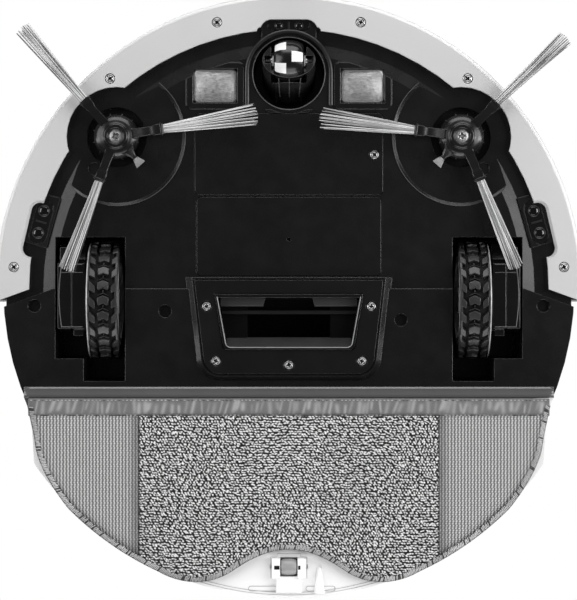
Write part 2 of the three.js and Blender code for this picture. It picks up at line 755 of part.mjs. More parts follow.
function powerButton() {
  const top = BODY_HEIGHT;
  const cap = disc(0, BUTTON_Y, BUTTON_RADIUS, top - COVER_WALL - 1.5, top, 32);
  const rimTop = top - COVER_WALL - BUTTON_TRAVEL * 0.4;
  const rim = disc(0, BUTTON_Y, BUTTON_RADIUS + 1.6, rimTop - 2.2, rimTop, 32);
  return join(cap, rim);
}

add("top_cover", "white", topCover());
add("power_button", "grey", powerButton());

// ---------------------------------------------------------------- covers and battery

function coverPlate(c) {
  return prism(roundedRect(-c.x, c.x, c.front, c.rear, 2.7), FLOOR_Z - 0.3, FLOOR_Z + COVER_PLATE - 0.5);
}

function batteryCover() {
  const [x, y] = BATTERY_SCREW;
  return cut(coverPlate(BATTERY_COVER), disc(x, y, SMALL_SCREW_RADIUS + GAP, FLOOR_Z - 2, FLOOR_Z + 4, 24));
}

function centreCover() {
  const middle = (CENTRE_COVER.front + CENTRE_COVER.rear) / 2;
  return cut(coverPlate(CENTRE_COVER), disc(0, middle + 1.6, 1.1, FLOOR_Z - 2, FLOOR_Z + 4, 16));
}

function batteryPack() {
  const middle = (BATTERY_COVER.front + BATTERY_COVER.rear) / 2;
  const [length, width, height] = BATTERY_SIZE;
  const z0 = FLOOR_Z + COVER_PLATE;
  const cells = [];
  for (const row of [-1, 1]) {
    cells.push(rod(-length / 2, length / 2, middle + row * width / 4, z0 + height / 2, height / 2 - 3, 12));
  }
  const shape = roundedRect(-length / 2 + 3, length / 2 - 3, middle - width / 2, middle + width / 2, 3);
  return join(prism(shape, z0, z0 + height), ...cells);
}

add("battery_cover", "black", batteryCover());
add("battery_cover_screw", "metal", screw(...BATTERY_SCREW, FLOOR_Z, SMALL_SCREW_RADIUS, 3.6));
add("battery_pack", "grey", batteryPack());
add("centre_cover", "black", centreCover());

// ---------------------------------------------------------------- suction inlet and duct

function inletFrame() {
  const plate = inletPlatform(0, INLET_BOTTOM, FLOOR_Z + 0.5);
  const cuts = [prism(mouthShape(GAP), INLET_BOTTOM - 1, FLOOR_Z + 2)];
  for (const [x, y] of INLET_SCREWS) cuts.push(screwSeat(x, y, INLET_BOTTOM + 0.4));
  return cut(plate, ...cuts);
}

function inletLip() {
  const z0 = INLET_BOTTOM - 0.9;
  const outer = prism(mouthShape(0), z0, FLOOR_Z + 0.5);
  return cut(outer, prism(mouthShape(-LIP_WIDTH), z0 - 1, FLOOR_Z + 2));
}

// A flat tray over the mouth, and a rectangular channel that rises from it to the dust bin's inlet.
function inletDuct() {
  const z0 = FLOOR_Z + FLOOR_THICK + GAP;
  const [mouthWide, mouthHigh] = BIN_MOUTH;
  const half = mouthWide / 2;
  const rear = BIN.front - GAP * 2;
  const low = BIN.bottom + 6;
  const high = low + mouthHigh;
  const m = MOUTH;
  const outside = [
    [m.front + 1, z0],
    [m.rear - 1, z0],
    [rear, low],
    [rear, high],
    [m.rear - 8, high],
    [m.front + 1, z0 + 8],
  ];
  const inside = [
    [m.front + 3, z0 - 1],
    [m.rear - 3, z0 - 1],
    [m.rear - 3, z0],
    [rear + 1, low + 2],
    [rear + 1, high - 2],
    [m.rear - 7, high - 2],
    [m.front + 3, z0 + 6.6],
  ];
  const channel = sidePrism(polygon(outside), -half - 2, half + 2);
  const hollow = sidePrism(polygon(inside), -half, half);
  const tray = box(-m.wide, m.wide, m.front, m.rear, z0, z0 + 2);
  return cut(join(channel, tray), hollow);
}

add("inlet_frame", "black", inletFrame());
add("inlet_lip", "black", inletLip());
add("inlet_duct", "black", inletDuct());
INLET_SCREWS.forEach(([x, y], i) => {
  add("inlet_screw_" + (i + 1), "metal", screw(x, y, INLET_BOTTOM + 0.4, SMALL_SCREW_RADIUS, 6));
});

// ---------------------------------------------------------------- caster

// The swivel fork: a round turret that leans forward to carry the wheel ahead of its axis.
function casterFork() {
  const y = CASTER_Y - CASTER_TRAIL;
  const r = CASTER_FORK_RADIUS;
  const half = CASTER_WHEEL_WIDTH / 2 + 1;
  const pocketRadius = CASTER_WHEEL_RADIUS + CASTER_POCKET_SPARE;
  const chord = Math.sqrt(pocketRadius ** 2 - (CASTER_WHEEL_RADIUS - CASTER_FORK_BOTTOM) ** 2);
  const foot = circlePoints(0, y, r - 0.6, chord - 0.4, 28);
  const head = circlePoints(0, CASTER_Y, r, r, 28);
  const turret = loft(foot, CASTER_FORK_BOTTOM, head, 27);
  const upper = disc(0, CASTER_Y, r, 26.9, CASTER_WELL_TOP - 3, 28);
  const stem = disc(0, CASTER_Y, 3.1, CASTER_WELL_TOP - 4, CASTER_WELL_TOP + 3, 16);
  const ribSide = polygon([
    [CASTER_Y - 2, 9],
    [CASTER_Y + r * 0.25, 9],
    [CASTER_Y + r, 27],
    [CASTER_Y + r, 30],
    [CASTER_Y - 2, 30],
  ]);
  const ribs = [-7, 0, 7].map((x) => sidePrism(ribSide, x - 0.6, x + 0.6));
  const pocket = rod(-half, half, y, CASTER_WHEEL_RADIUS, pocketRadius, 32);
  const axle = rod(-r, r, y, CASTER_WHEEL_RADIUS, CASTER_AXLE_RADIUS + GAP, 16);
  const reach = r - 1.6;
  const notch = box(-reach, reach, y - CASTER_FORK_NOTCH, y + CASTER_FORK_NOTCH, 0, CASTER_WHEEL_RADIUS);
  return cut(join(turret, upper, stem, ...ribs), pocket, axle, notch);
}

function casterWheel() {
  const half = CASTER_WHEEL_WIDTH / 2;
  const r = CASTER_WHEEL_RADIUS;
  const y = CASTER_Y - CASTER_TRAIL;
  const upper = [
    [r, 0],
    [r * 0.98, half * 0.3],
    [r * 0.9, half * 0.62],
    [r * 0.74, half],
    [4.2, half],
    [4.2, half + 0.6],
    [0, half + 0.6],
  ];
  const lower = upper.slice(1).map(([radius, h]) => [radius, -h]).reverse();
  const barrel = laidAlongX(turned([...lower, ...upper], 0, 0, 24));
  const bore = rod(-half - 2, half + 2, y, r, CASTER_AXLE_RADIUS + GAP, 16);
  return cut(shifted(barrel, 0, y, r), bore);
}

function casterAxle() {
  const reach = CASTER_FORK_RADIUS - 2.2;
  return rod(-reach, reach, CASTER_Y - CASTER_TRAIL, CASTER_WHEEL_RADIUS, CASTER_AXLE_RADIUS, 16);
}

add("caster_fork", "black", casterFork());
add("caster_wheel", "white", casterWheel());
add("caster_axle", "metal", casterAxle());

// ---------------------------------------------------------------- side brushes

const HUB_BOTTOM = 4.6;

function brushHub(name, side) {
  const dome = turned(
    [
      [0, HUB_BOTTOM],
      [BRUSH_BOSS_RADIUS, HUB_BOTTOM],
      [BRUSH_BOSS_RADIUS + 0.4, HUB_BOTTOM + 1],
      [BRUSH_DOME_RADIUS - 4, HUB_BOTTOM + 1.8],
      [BRUSH_DOME_RADIUS - 1.2, HUB_BOTTOM + 4],
      [BRUSH_DOME_RADIUS, HUB_BOTTOM + 7],
      [BRUSH_DOME_RADIUS, HUB_BOTTOM + 8],
      [0, HUB_BOTTOM + 8],
    ],
    0,
    0,
    28,
  );
  const neck = disc(0, 0, 7.5, HUB_BOTTOM + 7.5, FLOOR_Z + 8, 16);
  const armSide = polygon([
    [0, HUB_BOTTOM + 0.8],
    [BRUSH_ARM_REACH, HUB_BOTTOM - 1.4],
    [BRUSH_ARM_REACH, HUB_BOTTOM + 2.4],
    [BRUSH_DOME_RADIUS, HUB_BOTTOM + 6],
    [0, HUB_BOTTOM + 6],
  ]);
  const arm = sidePrism(armSide, -BRUSH_ARM_WIDTH / 2, BRUSH_ARM_WIDTH / 2);
  const socket = box(-1.6, 1.6, BRUSH_ARM_REACH - 5, BRUSH_ARM_REACH + 5, HUB_BOTTOM - 0.8, HUB_BOTTOM + 1.6);
  const arms = BRUSH_ARMS[name].map((angle) => spun(arm, angle - 90));
  const sockets = BRUSH_ARMS[name].map((angle) => spun(socket, angle - 90));
  const stubShape = polygon([
    [BRUSH_BOSS_RADIUS, -5],
    [17, -1.9],
    [21.5, -3.8],
    [22, 0],
    [21.5, 3.8],
    [17, 1.9],
    [BRUSH_BOSS_RADIUS, 5],
  ]);
  const stub = spun(prism(stubShape, HUB_BOTTOM + 2.6, HUB_BOTTOM + 5), BRUSH_STUB[name]);
  const screwHole = disc(0, 0, 4.1 + GAP, HUB_BOTTOM - 1, HUB_BOTTOM + 2.4, 24);
  const stem = disc(0, 0, 1.6 + GAP, HUB_BOTTOM, FLOOR_Z + 20, 16);
  const hub = cut(join(dome, neck, stub, ...arms), screwHole, stem, ...sockets);
  return shifted(hub, side * BRUSH_X, BRUSH_Y);
}

// A tuft: a flat bundle of bristles that widens and drops towards the floor.
function tuft(angle, side) {
  const rootX = BRUSH_ARM_REACH - 4;
  const section = (x, half, low, high) => [[low, x, half], [high, x, half]];
  const stations = [
    section(rootX, 1.3, HUB_BOTTOM - 0.5, HUB_BOTTOM + 1.2),
    section(BRUSH_ARM_REACH + 1, 1.4, HUB_BOTTOM - 0.7, HUB_BOTTOM + 1),
    section(BRUSH_ARM_REACH + 5, 2.3, HUB_BOTTOM - 1.2, HUB_BOTTOM + 0.9),
    section(BRUSH_REACH, 5.2, 0.8, 1.8),
  ];
  const points = [];
  for (const [[low, x, half], [high]] of stations) {
    points.push([x, -half, low], [x, half, low], [x, half, high], [x, -half, high]);
  }
  const faces = [[0, 2, 1], [0, 3, 2]];
  for (let i = 0; i < stations.length - 1; i++) {
    for (let k = 0; k < 4; k++) {
      const a = 4 * i + k;
      const b = 4 * i + ((k + 1) % 4);
      faces.push([a, b, b + 4], [a, b + 4, a + 4]);
    }
  }
  const last = points.length - 4;
  faces.push([last, last + 1, last + 2], [last, last + 2, last + 3]);
  const geometry = new THREE.BufferGeometry();
  geometry.setAttribute("position", new THREE.Float32BufferAttribute(points.flat(), 3));
  geometry.setIndex(faces.flat());
  return solid(geometry.rotateZ(radians(angle)).translate(side * BRUSH_X, BRUSH_Y, 0));
}

function brushScrew(side) {
  const x = side * BRUSH_X;
  const head = disc(x, BRUSH_Y, 4.1, HUB_BOTTOM + 0.4, HUB_BOTTOM + 2, 28);
  const stem = disc(x, BRUSH_Y, 1.6, HUB_BOTTOM + 1.8, FLOOR_Z + 10, 16);
  const slot = box(-2.6, 2.6, -0.5, 0.5, HUB_BOTTOM - 1, HUB_BOTTOM + 1.2);
  const cross = [20, 110].map((turn) => shifted(spun(slot, turn), x, BRUSH_Y));
  return cut(join(head, stem), ...cross);
}

function brushMotor(side) {
  const x = side * BRUSH_X;
  const z0 = FLOOR_Z + 12;
  const can = disc(x, BRUSH_Y, BRUSH_MOTOR_RADIUS, z0, z0 + 28, 32);
  const shaft = disc(x, BRUSH_Y, 3.4, FLOOR_Z + 8.4, z0 + 1, 20);
  const bore = disc(x, BRUSH_Y, 1.6 + GAP, FLOOR_Z + 7, FLOOR_Z + 11, 16);
  return cut(join(can, shaft), bore);
}

for (const [name, side] of Object.entries(sides)) {
  add("brush_hub_" + name, "black", brushHub(name, side));
  add("brush_screw_" + name, "metal", brushScrew(side));
  add("side_brush_motor_" + name, "metal", brushMotor(side));
  BRUSH_ARMS[name].forEach((angle, i) => {
    add("bristle_" + name + "_" + (i + 1), "bristle", tuft(angle, side));
  });
}

// ---------------------------------------------------------------- drive wheels

// Everything below is drawn for the right-hand wheel and mirrored for the left.
const axleZ = TYRE_RADIUS;
const tyreIn = WHEEL_X - TYRE_WIDTH / 2;
const tyreOut = WHEEL_X + TYRE_WIDTH / 2;

function wheelTyre() {
  const r = TYRE_RADIUS;
  const half = TYRE_WIDTH / 2;
  const bore = RIM_RADIUS + GAP;
  const upper = [
    [r, half - 3.4],
    [r - 0.6, half - 1.6],
    [r - 2, half],
    [bore, half],
  ];
  const lower = upper.map(([radius, h]) => [radius, -h]).reverse();
  const ring = turned([...lower, ...upper, lower[0]], 0, 0, 40);
  return shifted(laidAlongX(ring), WHEEL_X, WHEEL_Y, axleZ);
}

function wheelRim() {
  const half = TYRE_WIDTH / 2;
  const drum = rod(tyreIn + 0.6, tyreOut - 0.6, WHEEL_Y, axleZ, RIM_RADIUS, 32);
  const dish = rod(tyreIn - 1, tyreIn + 5, WHEEL_Y, axleZ, RIM_RADIUS - 4, 32);
  const hubBoss = rod(tyreIn + 1, tyreIn + 6, WHEEL_Y, axleZ, 7, 24);
  const shaft = rod(WHEEL_X, tyreOut + half * 0.7, WHEEL_Y, axleZ, 4, 20);
  return join(cut(drum, dish), hubBoss, shaft);
}

function gearboxHousing() {
  const g = GEARBOX;
  const split = (g.inner + g.outer) / 2;
  const outline = new THREE.Shape();
  outline.moveTo(g.front, FLOOR_Z - 2);
  outline.lineTo(g.rear, FLOOR_Z - 2);
  outline.lineTo(g.rear + 2, FLOOR_Z + 6);
  outline.lineTo(g.rear + 2, g.top - 8);
  outline.lineTo(g.rear - 6, g.top);
  outline.lineTo(g.front, g.top);
  outline.lineTo(PIVOT_Y - PIVOT_NOSE, PIVOT_Z + 8);
  outline.lineTo(PIVOT_Y - PIVOT_NOSE, PIVOT_Z - 6);
  outline.lineTo(g.front - 2, FLOOR_Z + 5);
  return { outline, split };
}

function gearboxHousingInner() {
  const { outline, split } = gearboxHousing();
  const shell = sidePrism(outline, GEARBOX.inner, split - GAP / 2);
  const bearing = rod(GEARBOX.inner - 1, split, WHEEL_Y, axleZ, 4 + GAP, 20);
  const clip = box(GEARBOX.inner + 1, split - 1, GEARBOX.rear, GEARBOX.rear + 4, FLOOR_Z - 0.5, FLOOR_Z + 3);
  return cut(join(shell, clip), bearing, rod(GEARBOX.inner - 1, split, PIVOT_Y, PIVOT_Z, 2 + GAP, 16));
}

function gearboxCoverOuter() {
  const { outline, split } = gearboxHousing();
  const shell = sidePrism(outline, split + GAP / 2, GEARBOX.outer);
  const block = box(split + 1, GEARBOX.outer - 1, GEARBOX.front - 9, GEARBOX.front, FLOOR_Z + 1, FLOOR_Z + 9);
  return cut(join(shell, block), rod(split, GEARBOX.outer - 2, WHEEL_Y, axleZ, 4 + GAP, 20));
}

const wheelPieces = [
  ["drive_tyre_", "rubber", wheelTyre()],
  ["drive_rim_", "black", wheelRim()],
  ["gearbox_housing_", "black", gearboxHousingInner()],
  ["gearbox_cover_", "black", gearboxCoverOuter()],
];
for (const [prefix, look, body] of wheelPieces) {
  add(prefix + "right", look, body);
  add(prefix + "left", look, mirrored(body));
}

// ---------------------------------------------------------------- dust bin, filter, fan, board

function dustBin() {
  const b = BIN;
  const outside = disc(0, 0, rearRadius - 0.6, b.bottom, b.top, ROUND);
  const block = common(box(-b.x, b.x, b.front, BODY_RADIUS * 1.2, b.bottom, b.top), outside);
  const insideDisc = disc(0, 0, rearRadius - 0.6 - BIN_WALL, b.bottom, b.top, ROUND);
  const w = BIN_WALL;
  const hollow = common(
    box(-b.x + w, b.x - w, b.front + w, BODY_RADIUS * 1.2, b.bottom + w, b.top - w),
    insideDisc,
  );
  const [wide, high] = BIN_MOUTH;
  const wallBack = b.front + w + 1;
  const mouth = box(-wide / 2, wide / 2, b.front - 1, wallBack, b.bottom + 8, b.bottom + 4 + high);
  const filterX = b.x - 27;
  const filterWindow = box(-filterX - 18, -filterX + 18, b.front - 1, wallBack, b.bottom + 10, b.top - 8);
  const grip = box(-26, 26, rearRadius - 9, rearRadius + 2, b.top - 14, b.top - 9);
  const latch = 11 + GAP;
  const latchHole = box(-latch, latch, rearRadius - 12, rearRadius + 2, b.top - 8.6, b.top - w - 0.6);
  return cut(block, hollow, mouth, filterWindow, grip, latchHole);
}

function binFilter() {
  const b = BIN;
  const x = -(b.x - 27);
  const y0 = b.front + BIN_WALL + GAP;
  const block = box(x - 17, x + 17, y0, y0 + 12, b.bottom + 9, b.top - 7);
  const pleats = [];
  for (let i = 0; i < 8; i++) {
    const px = x - 14 + i * 4;
    pleats.push(box(px - 0.8, px + 0.8, y0 + 4, y0 + 13, b.bottom + 11, b.top - 9));
  }
  return cut(block, ...pleats);
}

function binLatch() {
  const z0 = BIN.top - 8.2;
  const z1 = BIN.top - BIN_WALL - 1;
  return box(-10.7, 10.7, rearRadius - 7.5, rearRadius - 1.2, z0, z1);
}

function fanHousing() {
  const z0 = FLOOR_Z + FLOOR_THICK + 3;
  const can = disc(FAN_X, FAN_Y, FAN_RADIUS, z0, z0 + 32, 28);
  const hollow = disc(FAN_X, FAN_Y, FAN_RADIUS - 2, z0 + 10, z0 + 33, 28);
  return cut(can, hollow);
}

function fanImpeller() {
  const z0 = FLOOR_Z + FLOOR_THICK + 3 + 11;
  const plate = disc(FAN_X, FAN_Y, FAN_RADIUS - 5, z0, z0 + 2, 24);
  const hubPiece = disc(FAN_X, FAN_Y, 6, z0 + 1, z0 + 14, 20);
  const blades = [];
  for (let i = 0; i < 8; i++) {
    const blade = box(4, FAN_RADIUS - 6, -0.7, 0.7, z0 + 1, z0 + 11);
    blades.push(shifted(spun(blade, i * 45), FAN_X, FAN_Y));
  }
  return join(plate, hubPiece, ...blades);
}

function mainBoard() {
  const z0 = BODY_HEIGHT - COVER_WALL - 14;
  const plate = prism(roundedRect(-60, 60, -50, 40, 3), z0, z0 + 1.6);
  const chips = [
    box(-20, 4, -30, -6, z0 + 1, z0 + 4),
    box(20, 48, -10, 8, z0 + 1, z0 + 5),
    box(-50, -34, 8, 26, z0 + 1, z0 + 5),
  ];
  return join(plate, ...chips);
}

add("dust_bin", "grey", dustBin());
add("bin_filter", "white", binFilter());
add("bin_latch", "grey", binLatch());
add("fan_housing", "black", fanHousing());
add("fan_impeller", "grey", fanImpeller());
add("main_board", "board", mainBoard());

// ---------------------------------------------------------------- mop

const mopRadius = BODY_RADIUS + MOP_OVERHANG;

function railHalf() {
  return Math.sqrt((BODY_RADIUS - 6.5) ** 2 - (MOP_FRONT + MOP_RAIL / 2) ** 2);
}

// Where the cloth's straight side meets the big rear arc.
function clothSide() {
  const x = railHalf() - 5.5;
  return [x, Math.sqrt(mopRadius ** 2 - x ** 2)];
}

function mopOutline(inset) {
  const [sideX, sideY] = clothSide();
  const r = mopRadius - inset;
  const half = railHalf();
  const start = Math.atan2(sideY, sideX - inset);
  const shape = new THREE.Shape();
  shape.moveTo(-half, MOP_FRONT);
  shape.lineTo(half, MOP_FRONT);
  shape.lineTo(half, MOP_FRONT + MOP_RAIL);
  shape.lineTo(half - 4 - inset, MOP_FRONT + MOP_RAIL + 10);
  shape.absarc(0, 0, r, start, Math.PI - start);
  shape.lineTo(-half + 4 + inset, MOP_FRONT + MOP_RAIL + 10);
  shape.lineTo(-half, MOP_FRONT + MOP_RAIL);
  return shape;
}

function mopPlate() {
  const plate = prism(mopOutline(0), MOP_PLATE_Z, MOP_PLATE_TOP, 32);
  const half = railHalf();
  const rail = box(-half, half, MOP_FRONT, MOP_FRONT + MOP_RAIL, MOP_PLATE_Z - 0.6, MOP_RAIL_TOP);
  const trunk = box(-7, 7, rollerY + 5, rollerY + 14, MOP_PLATE_Z - 3, MOP_PLATE_TOP);
  const ears = [-1, 1].map((side) => {
    const inner = ROLLER_WIDTH / 2 + 0.6;
    const x0 = side > 0 ? inner : -TRUNK_HALF;
    return box(x0, x0 + TRUNK_HALF - inner, rollerY - 5, rollerY + 6, MOP_PLATE_Z - 4, MOP_PLATE_TOP);
  });
  const post = lyingPost(16.7, rollerY + 0.5, mopRadius - 2.4, MOP_PLATE_Z, 1.3, 3);
  const pinHole = rod(-TRUNK_HALF - 1, TRUNK_HALF + 1, rollerY, ROLLER_RADIUS + 0.6, 1.1 + GAP, 12);
  const rollerHalf = ROLLER_WIDTH / 2 + 0.6;
  const rollerSpace = rod(-rollerHalf, rollerHalf, rollerY, ROLLER_RADIUS + 0.6, ROLLER_RADIUS + 0.7, 24);
  // Fins that hook into the body keep the plate up.
  const hookTop = rearFloorZ - GAP;
  const hooks = [-1, 1].map((side) => box(side * 96 - 9, side * 96 + 9, 96, 100, MOP_PLATE_TOP - 1, hookTop));
  return cut(join(plate, rail, trunk, post, ...ears, ...hooks), rollerSpace, pinHole);
}

// A tapered pin that lies along Y, half sunk in the plate.
function lyingPost(x, y0, y1, z, frontRadius, rearRadius) {
  const geometry = new THREE.CylinderGeometry(rearRadius, frontRadius, y1 - y0, 16);
  return solid(geometry.translate(x, (y0 + y1) / 2, z));
}

function mopRoller() {
  const z = ROLLER_RADIUS + 0.6;
  const drum = rod(-ROLLER_WIDTH / 2, ROLLER_WIDTH / 2, rollerY, z, ROLLER_RADIUS, 24);
  const pin = rod(-TRUNK_HALF + 0.8, TRUNK_HALF - 0.8, rollerY, z, 1.1, 12);
  return join(drum, pin);
}

// The cloth: straight front band, arced sides and a wave in the rear edge.
function mopCloth() {
  const front = MOP_FRONT + MOP_RAIL + GAP;
  const half = railHalf() - 2.3;
  const [sideX] = clothSide();
  const r = mopRadius;
  const waist = BODY_RADIUS - 20.7;
  const start = Math.asin(Math.min(1, (waist + 14) / r)) * 0.62 + 0.06;
  const cornerX = CLOTH_NOTCH_HALF;
  const cornerY = waist + CLOTH_NOTCH_DEPTH - 2;
  const stop = Math.atan2(Math.sqrt(r ** 2 - (cornerX + 14) ** 2), cornerX + 14);
  const right = new THREE.Path();
  right.moveTo(half, front);
  right.lineTo(sideX - 1.5, front + 22);
  right.quadraticCurveTo(sideX - 2, front + 37, r * Math.cos(start), r * Math.sin(start));
  right.absarc(0, 0, r, start, stop, false);
  right.bezierCurveTo(cornerX + 2, cornerY + 1.2, cornerX - 14, cornerY + 2.5, cornerX - 27, cornerY - 7);
  right.quadraticCurveTo(14, waist, 0, waist);
  const points = right.getPoints(12);
  const left = points.slice(0, -1).reverse();
  const outline = [...points, ...left.map((p) => new THREE.Vector2(-p.x, p.y))];
  return prism(new THREE.Shape(outline), CLOTH_BOTTOM, MOP_PLATE_Z - GAP);
}

add("mop_plate", "clear", mopPlate());
add("mop_roller", "grey", mopRoller());
add("mop_cloth", "cloth", mopCloth());

export default group;
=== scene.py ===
"""Robot vacuum, seen from below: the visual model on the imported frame.

The frame is in metres, +Z up. Sizes and places in this file are in millimetres, unless a comment says
otherwise, and Piece.build turns them into metres.
"""

import math
import random

import bmesh
import bpy
import numpy as np
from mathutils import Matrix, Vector

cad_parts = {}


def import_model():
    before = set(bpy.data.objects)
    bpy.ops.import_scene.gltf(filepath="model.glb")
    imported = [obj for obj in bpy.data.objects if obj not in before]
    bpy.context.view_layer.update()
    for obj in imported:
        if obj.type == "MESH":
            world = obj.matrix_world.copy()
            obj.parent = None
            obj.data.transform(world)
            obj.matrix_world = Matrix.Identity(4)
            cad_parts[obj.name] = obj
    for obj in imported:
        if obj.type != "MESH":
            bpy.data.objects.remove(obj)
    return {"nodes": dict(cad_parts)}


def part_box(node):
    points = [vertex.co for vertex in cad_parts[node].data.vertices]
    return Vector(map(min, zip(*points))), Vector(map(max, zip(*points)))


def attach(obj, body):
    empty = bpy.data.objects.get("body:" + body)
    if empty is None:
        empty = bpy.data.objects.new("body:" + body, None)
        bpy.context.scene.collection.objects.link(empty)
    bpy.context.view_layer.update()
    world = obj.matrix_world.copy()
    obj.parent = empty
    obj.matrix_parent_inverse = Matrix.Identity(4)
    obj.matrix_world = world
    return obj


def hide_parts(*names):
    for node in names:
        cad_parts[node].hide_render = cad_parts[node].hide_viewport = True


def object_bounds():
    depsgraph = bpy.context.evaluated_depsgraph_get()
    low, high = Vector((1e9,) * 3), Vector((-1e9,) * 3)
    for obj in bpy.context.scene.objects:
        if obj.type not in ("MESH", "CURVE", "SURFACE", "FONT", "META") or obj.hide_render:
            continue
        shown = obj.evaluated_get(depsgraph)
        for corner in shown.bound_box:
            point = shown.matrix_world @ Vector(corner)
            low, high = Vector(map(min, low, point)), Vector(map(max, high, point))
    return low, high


MM = 0.001
SIDES = (("left", -1), ("right", 1))
UP = (0, 0, 1)
RIGHT = (1, 0, 0)
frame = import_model()
cad_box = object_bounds()
nodes = frame["nodes"]


# ---------------------------------------------------------------- materials


class Shader:
    """A grey material with a Principled shader and short calls for its nodes."""

    def __init__(self, name, level, roughness, metallic=0.0):
        self.material = bpy.data.materials.new(name)
        self.material.use_nodes = True
        self.tree = self.material.node_tree
        self.bsdf = self.tree.nodes["Principled BSDF"]
        self.put("Base Color", (level, level, level, 1.0))
        self.put("Roughness", roughness)
        self.put("Metallic", metallic)
        self.place = None
        self.normal = None

    def put(self, socket, value):
        self.bsdf.inputs[socket].default_value = value

    def link(self, source, target):
        self.tree.links.new(source, target)

    def node(self, kind, inputs):
        """A new node whose inputs are set to a value or linked to another node's output."""
        made = self.tree.nodes.new(kind)
        for socket, value in inputs.items():
            if isinstance(value, bpy.types.NodeSocket):
                self.link(value, made.inputs[socket])
            else:
                made.inputs[socket].default_value = value
        return made

    def coords(self, scale=(1, 1, 1)):
        if self.place is None:
            self.place = self.tree.nodes.new("ShaderNodeTexCoord")
        place = self.place.outputs["Object"]
        return self.node("ShaderNodeMapping", {"Vector": place, "Scale": scale}).outputs["Vector"]

    def noise(self, scale, detail=2.0, roughness=0.5, vector=None):
        inputs = {"Vector": vector or self.coords(), "Scale": scale, "Detail": detail, "Roughness": roughness}
        return self.node("ShaderNodeTexNoise", inputs).outputs["Fac"]

    def ramp(self, value, *stops):
        """Turns a value into grey levels; each stop is (position, level)."""
        made = self.node("ShaderNodeValToRGB", {"Fac": value})
        elements = made.color_ramp.elements
        while len(elements) < len(stops):
            elements.new(0.5)
        for element, (at, level) in zip(elements, stops):
            element.position = at
            element.color = (level, level, level, 1.0)
        return made.outputs["Color"]

    def math(self, operation, a, b):
        made = self.node("ShaderNodeMath", {0: a, 1: b})
        made.operation = operation
        return made.outputs[0]

    def bevel(self, radius):
        """Rounds sharp edges in the shading, as a mould does."""
        made = self.node("ShaderNodeBevel", {"Radius": radius * MM})
        made.samples = 6
        self.set_normal(made)

    def bump(self, height, strength, distance):
        inputs = {"Height": height, "Strength": strength, "Distance": distance * MM}
        if self.normal is not None:
            inputs["Normal"] = self.normal
        self.set_normal(self.node("ShaderNodeBump", inputs))

    def set_normal(self, node):
        self.normal = node.outputs["Normal"]
        self.link(self.normal, self.bsdf.inputs["Normal"])

    def colour(self, socket):
        self.link(socket, self.bsdf.inputs["Base Color"])

    def rough(self, socket):
        self.link(socket, self.bsdf.inputs["Roughness"])


def moulded(name, level, roughness, texture=0.0, edge=0.4, spread=0.15, specular=0.5, coat=0.0):
    """Moulded plastic: fine spark texture, faint flow variation, soft edges."""
    s = Shader(name, level, roughness)
    s.put("Specular IOR Level", specular)
    if coat:
        s.put("Coat Weight", coat)
        s.put("Coat Roughness", 0.06)
    s.colour(s.ramp(s.noise(35.0, 3.0), (0.3, level * (1 - spread)), (0.7, level * (1 + spread))))
    s.rough(s.ramp(s.noise(90.0, 4.0), (0.3, roughness * 0.9), (0.7, roughness * 1.12)))
    s.bevel(edge)
    if texture:
        s.bump(s.noise(2600.0, 2.0), texture, 0.08)
    return s.material


def metal(name, level, roughness, stretch=(1, 1, 1)):
    """Satin metal with a fine grain, which may be stretched into brush marks."""
    s = Shader(name, level, roughness, 1.0)
    grain = s.noise(900.0, 3.0, vector=s.coords(stretch))
    s.colour(s.ramp(grain, (0.3, level * 0.88), (0.7, min(1.0, level * 1.08))))
    s.rough(s.ramp(grain, (0.3, roughness * 0.8), (0.7, roughness * 1.3)))
    s.bevel(0.15)
    return s.material


def bristle(name, level):
    """Nylon strands: clear and glossy, with faint bands along their length."""
    s = Shader(name, level, 0.3)
    s.colour(s.ramp(s.noise(60.0, 1.0), (0.3, level * 0.8), (0.7, min(1.0, level * 1.2))))
    s.put("Specular IOR Level", 0.7)
    return s.material


def fabric(name, dark, light, roughness, fuzz, scale):
    """Cloth darker where its weave lies deep, as painted shade in the hollows, with fine fibres and a soft
    sheen.
    """
    s = Shader(name, light, roughness)
    depth = s.tree.nodes.new("ShaderNodeAttribute")
    depth.attribute_name = "weave_depth_and_shade"
    fibre = s.noise(scale, 3.0, 0.6)
    shade = s.math("ADD", depth.outputs["Fac"], s.math("MULTIPLY", s.math("SUBTRACT", fibre, 0.5), fuzz))
    s.colour(s.ramp(shade, (0.08, dark), (0.42, (dark * light) ** 0.5), (0.86, light)))
    s.put("Sheen Weight", 0.25)
    s.put("Sheen Roughness", 0.5)
    s.put("Specular IOR Level", 0.2)
    s.bump(fibre, 0.5, 0.15)
    return s.material


